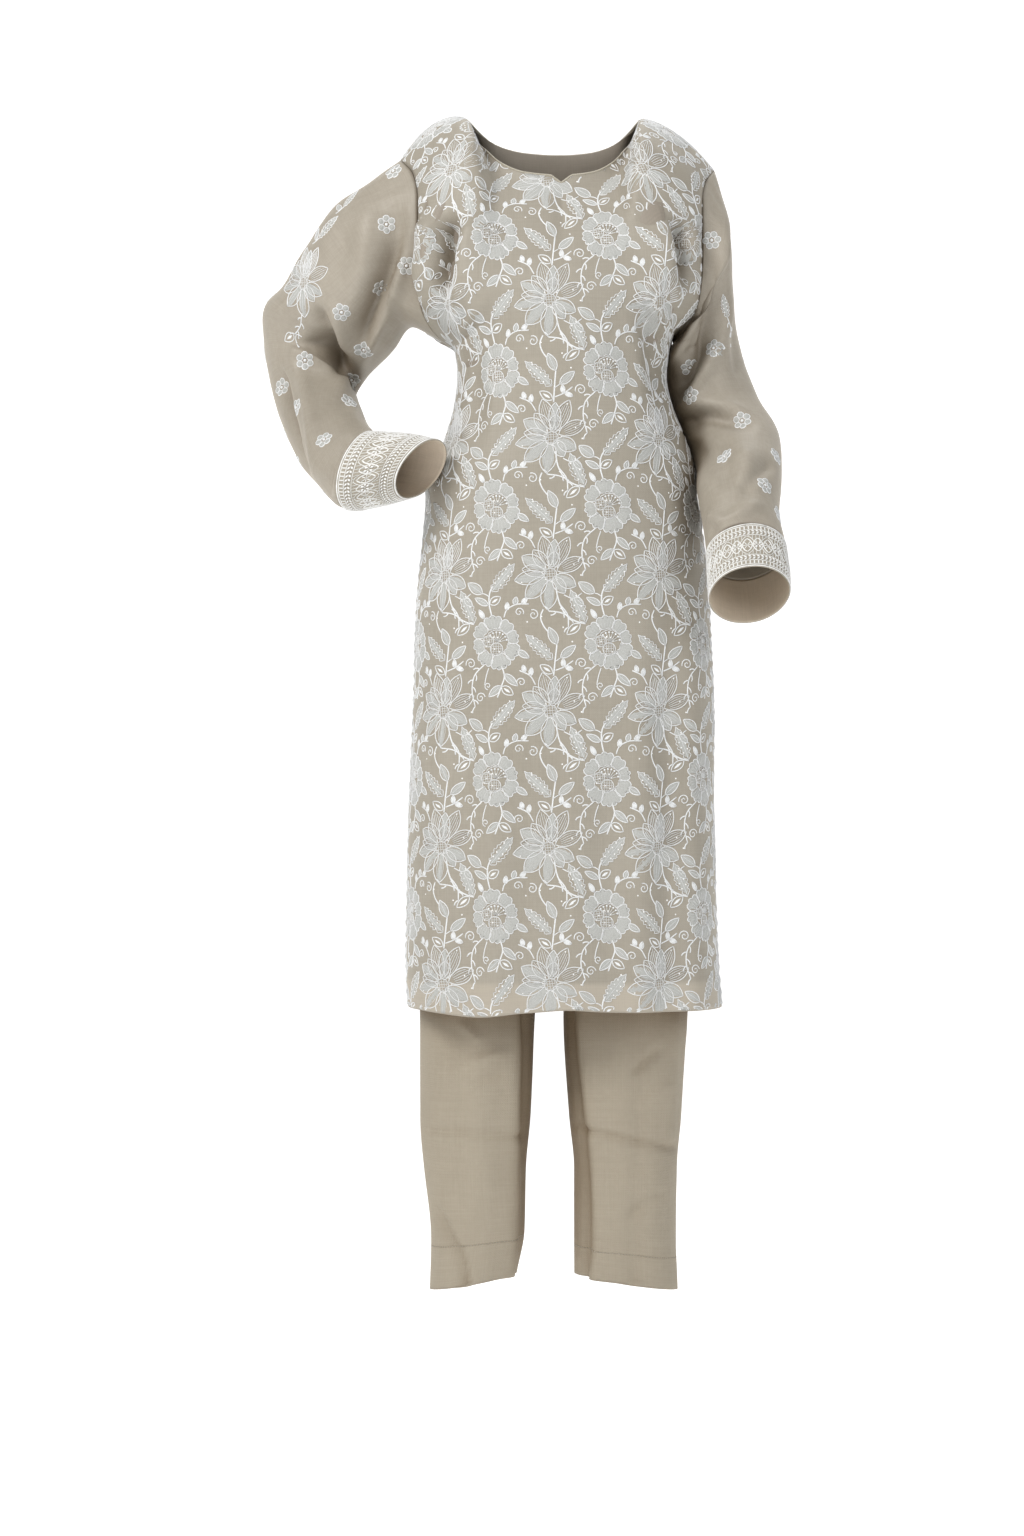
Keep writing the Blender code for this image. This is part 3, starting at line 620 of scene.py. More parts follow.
class Chart:
    """Flat cloth laid on the body: s runs across from the middle, t runs up from the hem."""
    STEP = 0.003
    BEYOND = np.arange(1, 26)[:, None] * 0.010  # rows that carry the cloth on past its top

    def __init__(self, grid, up):
        middle = grid.shape[1] // 2
        # above the underarm the cloth's length is counted as it turns over the shoulder
        turn = smooth((up - 0.50) / 0.30)[1:, None]
        move = np.diff(grid, axis=0)
        rise = np.sqrt(move[..., 2] ** 2 + (turn * move[..., 1]) ** 2)
        t = grid[0, :, 2][None, :] + np.concatenate(
            [np.zeros((1, grid.shape[1])), np.cumsum(rise, axis=0)], axis=0)
        self.t = t
        last = grid[-1] - grid[-4]
        last /= np.linalg.norm(last, axis=1, keepdims=True) + 1e-9
        more = grid[-1][None] + self.BEYOND[..., None] * last[None]
        full = np.concatenate([grid, more], axis=0)
        full_t = np.concatenate([t, t[-1][None] + self.BEYOND], axis=0)
        self.low = t[0].max()
        levels = np.arange(self.low, t[-1].max() + self.STEP, self.STEP)
        rows = np.empty((len(levels), grid.shape[1], 3))
        for c in range(grid.shape[1]):
            for k in range(3):
                rows[:, c, k] = np.interp(levels, full_t[:, c], full[:, c, k])
        gap = np.linalg.norm(np.diff(rows, axis=1), axis=2)
        s = np.concatenate([np.zeros((len(levels), 1)), np.cumsum(gap, axis=1)], axis=1)
        s -= s[:, middle:middle + 1]
        self.left = math.floor(s.min() / self.STEP) * self.STEP
        spots = np.arange(self.left, s.max() + self.STEP, self.STEP)
        self.flat = np.empty((len(levels), len(spots), 3))
        self.room = np.empty((len(levels), len(spots)))
        for r, level in enumerate(levels):
            for k in range(3):
                self.flat[r, :, k] = np.interp(spots, s[r], rows[r, :, k])
            end = np.interp(spots, s[r], t[-1])
            self.room[r] = np.minimum(np.minimum(spots - s[r, 0], s[r, -1] - spots),
                                      np.minimum(end - level, level - self.low))
        self.normal = outward(self.flat)

    def lay(self, s, t, height):
        """Points on the cloth, and how much cloth is left round each of them."""
        r = np.clip((t - self.low) / self.STEP, 0.0, len(self.flat) - 1.001)
        c = np.clip((s - self.left) / self.STEP, 0.0, self.flat.shape[1] - 1.001)
        r0, c0 = r.astype(int), c.astype(int)
        spot = ((r0, r0 + 1), (c0, c0 + 1), (r - r0)[:, None], (c - c0)[:, None])
        n = between(self.normal, *spot)
        n /= np.linalg.norm(n, axis=1, keepdims=True) + 1e-12
        room = between(self.room[..., None], *spot)[:, 0]
        outside = ((t < self.low) | (s < self.left)
                   | (t > self.low + (len(self.flat) - 1) * self.STEP)
                   | (s > self.left + (self.flat.shape[1] - 1) * self.STEP))
        return between(self.flat, *spot) + n * height[:, None], np.where(outside, -1.0, room)


# ---- needlework, drawn flat in millimetres -------------------------------------------------
LINE, FILL, SHINE = 0, 1, 2
REPEAT_ACROSS, REPEAT_UP = 126.0, 152.0
SUNK = -0.15                    # the underside of a form lies this far inside the cloth
SEQUIN_SUNK, SEQUIN_HIGH = -0.1, 0.75
FRONT_COARSE, BACK_COARSE = 1.2, 2.0  # the points along a thread lie this much farther apart
TWIG_ROOT, TWIG_TIP = 58.0, 20.0      # how far a twig turns from its tendril, degrees


class Needlework:
    """Threads, filled shapes and sequins, each a closed little form: x, y and height."""

    def __init__(self, coarse=1.0):
        self.coarse = coarse
        self.spots, self.faces, self.kinds = [], [], []
        self.shapes, self.bends = [], []

    def put(self, spots, faces, kind, bends=False):
        """Add one closed form; bends tells that it may be drawn in where the cloth ends."""
        start = len(self.spots)
        self.shapes.extend([len(self.bends)] * len(spots))
        self.bends.append(bends)
        self.spots.extend(spots)
        self.faces.extend(tuple(i + start for i in f) for f in faces)
        self.kinds.extend([kind] * len(faces))

    def thread(self, points, wide, high=0.75, step=2.6, closed=False):
        """A couched thread along a soft line."""
        pts = [tuple(p) for p in points]
        if closed:
            pts = pts + [pts[0]]
        length = sum(math.dist(a, b) for a, b in zip(pts, pts[1:]))
        count = max(3, int(round(length / (step * self.coarse))) + 1)
        line = soft_line(pts, count)
        if closed:
            line = line[:-1]
            d = np.roll(line, -1, axis=0) - np.roll(line, 1, axis=0)
        else:
            d = np.gradient(line, axis=0)
        d /= np.linalg.norm(d, axis=1, keepdims=True) + 1e-9
        n = np.stack([-d[:, 1], d[:, 0]], axis=1)
        spots, faces = [], []
        total, w = len(line), wide / 2.0
        for p, q in zip(line, n):
            spots += [(p[0] + q[0] * w, p[1] + q[1] * w, SUNK),
                      (p[0] - q[0] * w, p[1] - q[1] * w, SUNK),
                      (p[0], p[1], high)]
        for i in range(total if closed else total - 1):
            a, b = 3 * i, 3 * ((i + 1) % total)
            faces += [(a, a + 2, b + 2, b), (a + 1, b + 1, b + 2, a + 2), (a, b, b + 1, a + 1)]
        if not closed:
            e = 3 * (total - 1)
            faces += [(0, 1, 2), (e, e + 2, e + 1)]
        self.put(spots, faces, LINE)

    def patch(self, outline, high, kind=FILL):
        """A filled shape, raised a little in its middle."""
        pts = [(float(x), float(y)) for x, y in outline]
        area = sum(a[0] * b[1] - b[0] * a[1] for a, b in zip(pts, pts[1:] + pts[:1]))
        if area < 0:
            pts.reverse()
        n = len(pts)
        mx, my = sum(p[0] for p in pts) / n, sum(p[1] for p in pts) / n
        spots = [(x, y, SUNK) for x, y in pts]
        spots += [(mix(mx, x, 0.82), mix(my, y, 0.82), high) for x, y in pts]
        spots += [(mx, my, high), (mx, my, SUNK)]
        faces = []
        for i in range(n):
            j = (i + 1) % n
            faces += [(i, j, n + j, n + i), (n + i, n + j, 2 * n), (j, i, 2 * n + 1)]
        self.put(spots, faces, kind, True)

    def blade(self, base, left, right, tip, high=0.45, kind=FILL):
        """A filled shape between two edges that run from its base to its tip."""
        n = len(left)
        middle = [((a + c) / 2.0, (b + d) / 2.0) for (a, b), (c, d) in zip(left, right)]
        spots = [(*base, SUNK), (*tip, SUNK)]
        spots += [(*p, SUNK) for p in left] + [(*p, SUNK) for p in right]
        spots += [(*p, high) for p in middle]
        faces = []
        for i in range(n - 1):
            a, b, m = 2 + i, 2 + n + i, 2 + 2 * n + i
            faces += [(a, m, m + 1, a + 1), (m, b, b + 1, m + 1), (a, a + 1, b + 1, b)]
        a, b, m = 2, 2 + n, 2 + 2 * n
        faces += [(0, b, m), (0, m, a), (0, a, b)]
        a, b, m = a + n - 1, b + n - 1, m + n - 1
        faces += [(a, m, 1), (m, b, 1), (a, 1, b)]
        self.put(spots, faces, kind, True)

    def sequin(self, x, y, r):
        ring = [(x + r * math.cos(a), y + r * math.sin(a)) for a in
                (i * math.pi / 3.0 for i in range(6))]
        spots = [(a, b, SEQUIN_SUNK) for a, b in ring]
        spots += [(x, y, SEQUIN_HIGH), (x, y, SEQUIN_SUNK)]
        faces = []
        for i in range(6):
            j = (i + 1) % 6
            faces += [(i, j, 6), (j, i, 7)]
        self.put(spots, faces, SHINE)

    def turned(self, turn, size):
        """The drawing's points, turned by so many degrees and sized."""
        a = math.radians(turn)
        x, y, z = np.array(self.spots).T
        return np.stack([size * (x * math.cos(a) - y * math.sin(a)),
                         size * (x * math.sin(a) + y * math.cos(a)), z], axis=-1)


def at(x, y, angle, far, aside=0.0):
    """A spot so far out along an angle, and a little to its left."""
    a = math.radians(angle)
    return (x + far * math.cos(a) - aside * math.sin(a), y + far * math.sin(a) + aside * math.cos(a))


def leaf(work, base, tip, wide, teeth=0, filled=True):
    """A leaf from its base to its tip, cut with teeth where it is a serrated one."""
    dx, dy = tip[0] - base[0], tip[1] - base[1]
    size = math.hypot(dx, dy)
    ux, uy = dx / size, dy / size

    def spot(t, aside):
        return (base[0] + ux * size * t - uy * aside, base[1] + uy * size * t + ux * aside)

    count = teeth if teeth else 5
    left, right = [], []
    for i in range(1, count + 1):
        t = i / (count + 1.0)
        half = wide / 2.0 * math.sin(math.pi * t ** 0.85) ** 0.8
        for edge, sign in ((left, 1), (right, -1)):
            edge.append(spot(t, sign * half))
            if teeth:
                edge.append(spot(t + 0.22 / (count + 1.0), sign * (half * 0.84 - 0.9)))
    if filled:
        work.blade(spot(0, 0), left, right, spot(1, 0), kind=LINE if wide < 6.0 else FILL)
    rim_wide, rim_step = (1.1, 1.8) if teeth else (1.4, 2.3)
    for edge in (left, right):
        work.thread([spot(0, 0)] + edge + [spot(1, 0)], rim_wide, 0.8, rim_step)
    if filled:
        work.thread([spot(0.0, 0), spot(0.5, 0), spot(0.88, 0)], 1.0, 0.8, 4.0)
    else:
        # a small stitched heart inside the outline
        heart = [[spot(t, sign * wide * w) for t, w in ((0.30, 0.13), (0.46, 0.20), (0.62, 0.13))]
                 for sign in (1, -1)]
        work.blade(spot(0.12, 0), heart[0], heart[1], spot(0.80, 0), 0.5, LINE)
    if teeth:
        for t in (0.24, 0.40, 0.56, 0.72):
            work.sequin(*spot(t, wide * 0.20), 1.15)
            work.sequin(*spot(t + 0.06, -wide * 0.20), 1.15)


def open_leaf(work, base, tip, wide):
    """A leaf of outline only, a little wider than a filled one."""
    leaf(work, base, tip, wide * 1.3, 0, False)


def spiral(work, x, y, radius, turns, start, way=1):
    """A tendril's curl, from its middle out."""
    points = []
    count = int(9 * turns) + 3
    for i in range(count):
        t = i / (count - 1.0)
        points.append(at(x, y, start + way * 360.0 * turns * t, 1.2 + (radius * 1.08 - 1.2) * t))
    work.thread(points, 1.4, step=2.2)


def comb(work, points, tooth, gap):
    """A tendril with short curved twigs along it, by turns on each side."""
    work.thread(points, 1.7)
    line = soft_line(points, max(4, int(sum(math.dist(a, b) for a, b in zip(points, points[1:])) / gap)))
    d = np.gradient(line, axis=0)
    for i, ((x, y), (dx, dy)) in list(enumerate(zip(line, d)))[1:]:
        a = math.degrees(math.atan2(dy, dx))
        sign = -1 if i % 2 else 1
        half = at(x, y, a + sign * TWIG_ROOT, tooth * 0.55)
        tip = at(*half, a + sign * TWIG_TIP, tooth * 0.5)
        work.thread([(x, y), half, tip], 1.7, 0.8, tooth / 3.0)


def lattice(work, x, y, radius, gap, turn):
    """A small round of crossed threads."""
    for angle in (turn, turn + 90.0):
        k = -radius + gap * 0.8
        while k < radius - 0.5:
            half = math.sqrt(max(0.0, radius * radius - k * k))
            work.thread([at(x, y, angle, -half, k), at(x, y, angle, half, k)], 0.75, 0.6, half)
            k += gap
    work.thread([at(x, y, a, radius) for a in range(0, 360, 36)], 1.2, closed=True)


def peony(work, x, y):
    """A full ruffled bloom: broad petals with scalloped rims round an open middle."""
    petals = [(97, 29.0, 25, 3), (53, 27.5, 20, 2), (14, 26.5, 20, 3), (-29, 29.0, 23, 3),
              (-76, 31.0, 25, 4), (-122, 29.0, 22, 3), (-166, 26.0, 23, 3), (145, 28.0, 24, 3)]
    for angle, reach, half, scallops in petals:
        rim = []
        steps = 5 * scallops
        for i in range(steps + 1):
            k = 2.0 * i / steps - 1.0
            bulge = 2.5 * abs(math.sin(scallops * math.pi * i / steps))
            rim.append(at(x, y, angle + half * k, reach - 2.6 * k * k + bulge - 1.7))
        base_left, base_right = at(x, y, angle - half * 0.80, 14.4), at(x, y, angle + half * 0.80, 14.4)
        work.patch([base_left] + rim + [base_right], 0.38)
        work.thread([base_left] + rim + [base_right], 1.35, 0.85, 1.8)
        for k in (-0.6, -0.2, 0.2, 0.6):
            work.thread([at(x, y, angle + half * k * 0.92, 16.0), at(x, y, angle + half * k, reach - 4.5)],
                        0.6, 0.62, 5.0)
    # the open middle: a fan of rays above, crossed threads at the left and below
    hub = (x + 2.0, y - 0.6)
    for i in range(7):
        a = 14.0 + 20.0 * i
        work.thread([at(*hub, a, 1.0), at(*hub, a, 10.2)], 0.85, 0.8, 4.6)
        work.patch([at(*at(*hub, a, 11.2), 60.0 * k, 1.35) for k in range(6)], 0.75, LINE)
    work.thread([at(*hub, 4.0 + 5.0 * i, 13.2 + 0.9 * abs(math.sin(math.pi * i / 4.0)))
                 for i in range(29)], 1.15, 0.85)
    lattice(work, x - 8.2, y + 0.6, 6.2, 2.75, 8.0)
    lattice(work, x + 1.2, y - 8.2, 7.2, 2.75, 0.0)
    for i in range(12):
        work.thread([at(x, y, 30.0 * i - 14, 13.9), at(x, y, 30.0 * i, 15.3),
                     at(x, y, 30.0 * i + 14, 13.9)], 1.2, 0.85)
    for a, far in ((8, 5.5), (60, 5.5), (110, 5.5), (180, 8.0), (205, 12.0), (262, 8.0), (292, 12.0)):
        work.sequin(*at(x, y, a, far), 1.15)


def lotus(work, x, y):
    """An open bloom seen a little from the side, with long pointed petals."""
    petals = [(128, 33, 14, 1), (84, 38, 13, 0), (172, 33, 13, 1), (304, 27, 13, 0),
              (104, 43, 16, 1), (64, 45, 15, 1), (150, 38, 17, 0), (191, 42, 15, 0),
              (224, 40, 18, 0), (264, 41, 18, 0), (332, 31, 15, 0), (24, 40, 15, 1),
              (80, 25, 13, 1)]
    steps = ((0.26, 0.46), (0.38, 0.80), (0.52, 0.98), (0.66, 1.0), (0.80, 0.80), (0.91, 0.44))
    for i, (angle, reach, wide, open_work) in enumerate(petals):
        left = [at(x, y, angle, reach * t, wide / 2.0 * w) for t, w in steps]
        right = [at(x, y, angle, reach * t, -wide / 2.0 * w) for t, w in steps]
        base, tip = at(x, y, angle, reach * 0.17), at(x, y, angle, reach)
        high = 0.36 + 0.03 * (i % 3)
        if not open_work:
            work.blade(base, left, right, tip, high)
        work.thread([base] + left + [tip], 1.3, 0.9)
        work.thread([base] + right + [tip], 1.3, 0.9)
        for k in ((-0.34, -0.17, 0.0, 0.17, 0.34) if open_work else (-0.22, 0.0, 0.22)):
            work.thread([at(x, y, angle, reach * 0.34, wide * k * 0.75),
                         at(x, y, angle, reach * 0.60, wide * k * 1.05),
                         at(x, y, angle, reach * (0.93 - 0.42 * abs(k)), wide * k * 0.8)],
                        0.75 if open_work else 0.6, 0.7, 7.0)
    lattice(work, x - 1.0, y - 1.5, 7.2, 2.9, 5.0)
    for a in range(0, 360, 45):
        work.sequin(*at(x, y, a, 9.6), 0.9)


def sprig(work, path, leaves, curl=None):
    """A curled stem with small leaves on it."""
    work.thread(path, 1.6)
    for base, tip, wide in leaves:
        leaf(work, base, tip, wide)
    if curl:
        spiral(work, *curl)


def field(coarse):
    """One repeat of the all-over design: a peony, a lotus, and the stems between them.
    The peony is at the origin; the lotus lies half a repeat across and half a repeat down."""
    blooms, vines = Needlework(coarse), Needlework(coarse)
    peony(blooms, 0, 0)
    lx, ly = REPEAT_ACROSS / 2.0, -REPEAT_UP / 2.0
    lotus(blooms, lx, ly)

    # above the peony
    vines.thread([(-4, 29), (-7, 42), (-6, 56), (-3, 62)], 1.9)
    leaf(vines, (-4, 56), (22, 87), 16, 6)
    leaf(vines, (-15, 54), (-33, 66), 11)
    vines.thread([(-7, 50), (-11, 53), (-15, 54)], 1.4)
    leaf(vines, (-8, 41), (-24, 49), 7)
    open_leaf(vines, (-6, 42), (6, 50), 7)
    leaf(vines, (-25, 21), (-42, 58), 15.5, 6)
    vines.thread([(-58, 60), (-54, 43), (-46, 29), (-34, 22), (-25, 20)], 1.9)
    comb(vines, [(-42, 27), (-52, 32), (-66, 34)], 7.5, 6.0)
    open_leaf(vines, (-31, 20), (-46, 8), 7)
    leaf(vines, (-13, 26), (-19, 36), 5)
    sprig(vines, [(10, 27), (12, 34), (22, 41), (38, 42)],
          [((13, 35), (14, 44), 5), ((22, 41), (24, 50), 6), ((30, 42), (36, 49), 5)],
          (27, 33, 5, 1.3, 80, -1))
    leaf(vines, (25, -10), (38, -18), 7)
    # below the peony, on the left
    spiral(vines, -30, -24, 6, 1.5, 20)
    comb(vines, [(-13, -25), (-26, -38), (-29, -54), (-25, -72)], 8.0, 6.5)
    spiral(vines, -18, -62, 5.5, 1.4, 150, -1)
    vines.thread([(-8, -29), (-11, -38), (-13, -48)], 1.4)
    spiral(vines, -9, -49, 4, 1.2, 200)
    # below the peony, on the right
    vines.thread([(7, -27), (10, -38), (6, -51), (2, -62)], 1.8)
    leaf(vines, (10, -36), (25, -49), 8)
    leaf(vines, (6, -49), (-8, -61), 8)
    open_leaf(vines, (7, -50), (20, -59), 7)

    def by_lotus(points):
        return [(lx + a, ly + b) for a, b in points]

    # above the lotus
    vines.thread(by_lotus([(2, 38), (4, 56), (6, 73)]), 1.9)
    leaf(vines, *by_lotus([(6, 73), (-3, 92)]), 10)
    leaf(vines, *by_lotus([(1, 56), (-29, 84)]), 15, 6)
    leaf(vines, *by_lotus([(10, 58), (27, 72)]), 9)
    vines.thread(by_lotus([(4, 54), (7, 56), (10, 58)]), 1.3)
    open_leaf(vines, *by_lotus([(1, 41), (-13, 50)]), 7)
    sprig(vines, by_lotus([(4, 44), (14, 48), (24, 55)]),
          [(*by_lotus([(13, 48), (13, 57)]), 5), (*by_lotus([(15, 48), (24, 45)]), 5)])
    sprig(vines, by_lotus([(-18, 28), (-24, 38), (-36, 44)]),
          [(*by_lotus([(-24, 38), (-22, 47)]), 5), (*by_lotus([(-30, 42), (-32, 50)]), 5)],
          (lx - 34, ly + 31, 5, 1.3, 90))
    # below the lotus
    vines.thread(by_lotus([(-9, -40), (-12, -48), (-9, -58), (-3, -66)]), 1.8)
    spiral(vines, lx - 20, ly - 46, 5.5, 1.4, 330)
    comb(vines, by_lotus([(10, -35), (18, -46), (19, -60)]), 7.5, 6.0)
    vines.thread(by_lotus([(14, -24), (24, -28), (34, -22)]), 1.4)
    leaf(vines, *by_lotus([(26, -27), (36, -36)]), 7)
    # small scattered sequins
    for a, b in ((-40, 0), (42, 6), (36, 22), (-20, -12), (-46, -40), (16, -66), (40, -30),
                 (-50, 16), (30, 66), (-30, 74), (52, 28), (-38, -66)):
        vines.sequin(a, b, 1.1)
    return blooms, vines


def small_flower():
    """The little flower of the sleeves."""
    work = Needlework()
    for i in range(6):
        angle = 60 * i + 8
        rim = [at(0, 0, angle + 27 * k, 10.4 - 2.4 * k * k) for k in (-1.0, -0.5, 0.0, 0.5, 1.0)]
        outline = [at(0, 0, angle - 14, 3.6)] + rim + [at(0, 0, angle + 14, 3.6)]
        work.patch(outline, 0.40)
        work.thread(outline, 1.5, 0.85, 2.8, closed=True)
    work.patch([at(0, 0, a, 2.0) for a in range(0, 360, 45)], 0.9, LINE)
    return work


# ---- finishes ------------------------------------------------------------------------------
def node(tree, kind, **values):
    new = tree.nodes.new(kind)
    for name, value in values.items():
        if name in new.inputs:
            new.inputs[name].default_value = value
        else:
            setattr(new, name, value)
    return new


def math_node(tree, operation, a, b=None):
    new = tree.nodes.new("ShaderNodeMath")
    new.operation = operation
    for i, value in enumerate((a, b)):
        if value is None:
            continue
        if isinstance(value, (int, float)):
            new.inputs[i].default_value = value
        else:
            tree.links.new(value, new.inputs[i])
    return new.outputs[0]


def ramp(tree, value, low, high, from_low=0.0, from_high=1.0):
    new = tree.nodes.new("ShaderNodeMapRange")
    new.inputs["From Min"].default_value = from_low
    new.inputs["From Max"].default_value = from_high
    new.inputs["To Min"].default_value = low
    new.inputs["To Max"].default_value = high
    tree.links.new(value, new.inputs["Value"])
    return new.outputs["Result"]


def blend_colours(tree, share, a, b, how="MIX"):
    new = tree.nodes.new("ShaderNodeMix")
    new.data_type, new.blend_type = "RGBA", how
    for socket, value in ((new.inputs[0], share), (new.inputs[6], a), (new.inputs[7], b)):
        if isinstance(value, (int, float)):
            socket.default_value = value
        elif isinstance(value, tuple):
            socket.default_value = (*value, 1.0)
        else:
            tree.links.new(value, socket)
    return new.outputs[2]


def weave_group():
    """Warp and weft: a height for the threads, and a mask of their uneven thickness."""
    tree = bpy.data.node_groups.new("warp and weft", "ShaderNodeTree")
    join = tree.links.new
    for name, kind in (("Place", "NodeSocketVector"), ("Threads", "NodeSocketFloat"),
                       ("Slub", "NodeSocketFloat")):
        tree.interface.new_socket(name, in_out="INPUT", socket_type=kind)
    for name in ("Height", "Streaks"):
        tree.interface.new_socket(name, in_out="OUTPUT", socket_type="NodeSocketFloat")
    inside, outside = tree.nodes.new("NodeGroupInput"), tree.nodes.new("NodeGroupOutput")
    parts = tree.nodes.new("ShaderNodeSeparateXYZ")
    join(inside.outputs["Place"], parts.inputs[0])
    turn = math_node(tree, "MULTIPLY", inside.outputs["Threads"], math.pi)
    warp = math_node(tree, "SINE", math_node(tree, "MULTIPLY", parts.outputs[0], turn))
    weft = math_node(tree, "SINE", math_node(tree, "MULTIPLY", parts.outputs[1], turn))
    cloth = ramp(tree, math_node(tree, "MULTIPLY", warp, weft), 0.0, 1.0, -1.0, 1.0)
    streaks = []
    for scale in ((14.0, 900.0, 1.0), (900.0, 14.0, 1.0)):
        stretch = node(tree, "ShaderNodeMapping", vector_type="POINT")
        stretch.inputs["Scale"].default_value = scale
        join(inside.outputs["Place"], stretch.inputs["Vector"])
        grain = node(tree, "ShaderNodeTexNoise", Scale=1.0, Detail=3.0, Roughness=0.6)
        join(stretch.outputs[0], grain.inputs["Vector"])
        streaks.append(ramp(tree, grain.outputs["Fac"], 0.0, 1.0, 0.38, 0.72))
    both = math_node(tree, "MULTIPLY", math_node(tree, "ADD", streaks[0], streaks[1]), 0.5)
    join(both, outside.inputs["Streaks"])
    slubs = math_node(tree, "MULTIPLY", both, inside.outputs["Slub"])
    join(math_node(tree, "ADD", cloth, slubs), outside.inputs["Height"])
    return tree


def mottle_group():
    """Slow uneven tone, as cloth has where it has been handled and steamed."""
    tree = bpy.data.node_groups.new("uneven tone", "ShaderNodeTree")
    join = tree.links.new
    tree.interface.new_socket("Size", in_out="INPUT", socket_type="NodeSocketFloat")
    tree.interface.new_socket("Tone", in_out="OUTPUT", socket_type="NodeSocketFloat")
    inside, outside = tree.nodes.new("NodeGroupInput"), tree.nodes.new("NodeGroupOutput")
    spot = tree.nodes.new("ShaderNodeTexCoord")
    slow = node(tree, "ShaderNodeTexNoise", Detail=2.0, Roughness=0.5)
    join(spot.outputs["Object"], slow.inputs["Vector"])
    join(inside.outputs["Size"], slow.inputs["Scale"])
    fine = node(tree, "ShaderNodeTexNoise", Scale=160.0, Detail=2.0, Roughness=0.6)
    join(spot.outputs["Object"], fine.inputs["Vector"])
    total = math_node(tree, "ADD", math_node(tree, "MULTIPLY", slow.outputs["Fac"], 0.65),
                      math_node(tree, "MULTIPLY", fine.outputs["Fac"], 0.35))
    join(ramp(tree, total, 0.0, 1.0, 0.3, 0.7), outside.inputs["Tone"])
    return tree


WEAVE, MOTTLE = weave_group(), mottle_group()
PAINTED_SHADE_REACH = 0.035  # how far the cloth round a place is looked for, for the painted shade
RELIEF_DEEP = 0.0004  # the height of the weave and of the strands


def paint_occlusion_shade(tree, base, reach, shade_colour, shut=0.25, clear=0.85):
    """Painted shade: the colour is darkened toward a warm shade colour where ambient occlusion finds other
    surfaces close round a place, in folds, beside threads and under overhangs.
    Shut and clear are the shares of its own colour where all or nothing is closed off."""
    near = tree.nodes.new("ShaderNodeAmbientOcclusion")
    near.samples = 6
    near.inputs["Distance"].default_value = reach
    open_share = ramp(tree, near.outputs["AO"], 0.0, 1.0, shut, clear)
    # painted shade: the colour is multiplied toward the shade colour as the place is closed off
    tint = blend_colours(tree, open_share, shade_colour, (1.0, 1.0, 1.0))
    return blend_colours(tree, 1.0, base, tint, "MULTIPLY")


# the last argument paints shade: its reach, the warm dark colour put into folds and under overhangs, and
# its shut and clear shares if given
def cloth_finish(name, colour, dark, threads, slub, rough, bump, sheen=0.25, band=None,
                 painted_shade=(PAINTED_SHADE_REACH, (0.38, 0.31, 0.23))):
    """A woven cloth with painted shade in its folds; band gives the paler colour painted below a level, for
    light that passes through sheer cloth where no lining lies behind it.
    """
    material = bpy.data.materials.new(name)
    material.use_nodes = True
    tree = material.node_tree
    join = tree.links.new
    shader = tree.nodes["Principled BSDF"]
    shader.inputs["Sheen Weight"].default_value = sheen
    shader.inputs["Sheen Roughness"].default_value = 0.45
    shader.inputs["Sheen Tint"].default_value = (*[min(1.0, c * 1.6) for c in colour], 1.0)
    uv = node(tree, "ShaderNodeUVMap", uv_map="cloth")
    weave = tree.nodes.new("ShaderNodeGroup")
    weave.node_tree = WEAVE
    weave.inputs["Threads"].default_value = threads
    weave.inputs["Slub"].default_value = slub
    join(uv.outputs[0], weave.inputs["Place"])
    tone = tree.nodes.new("ShaderNodeGroup")
    tone.node_tree = MOTTLE
    tone.inputs["Size"].default_value = 7.0
    base = blend_colours(tree, tone.outputs["Tone"], dark, colour)
    # painted light: below the level the colour is painted paler, for light passing through sheer cloth with
    # no lining behind it
    if band:
        level, edge, paler = band
        spot = tree.nodes.new("ShaderNodeTexCoord")
        parts = tree.nodes.new("ShaderNodeSeparateXYZ")
        join(spot.outputs["Object"], parts.inputs[0])
        below = ramp(tree, parts.outputs[2], 1.0, 0.0, level - edge, level + edge)
        base = blend_colours(tree, below, base, paler)
    streaked = ramp(tree, weave.outputs["Streaks"], 0.90, 1.06)
    grey = tree.nodes.new("ShaderNodeCombineColor")
    for i in range(3):
        join(streaked, grey.inputs[i])
    base = blend_colours(tree, 1.0, base, grey.outputs[0], "MULTIPLY")
    # painted shade: darker and warmer in folds and under overhangs
    base = paint_occlusion_shade(tree, base, *painted_shade)
    join(base, shader.inputs["Base Color"])
    join(ramp(tree, weave.outputs["Streaks"], rough + 0.06, rough - 0.06),
                   shader.inputs["Roughness"])
    relief = node(tree, "ShaderNodeBump", Strength=bump, Distance=RELIEF_DEEP)
    join(weave.outputs["Height"], relief.inputs["Height"])
    join(relief.outputs[0], shader.inputs["Normal"])
    return material


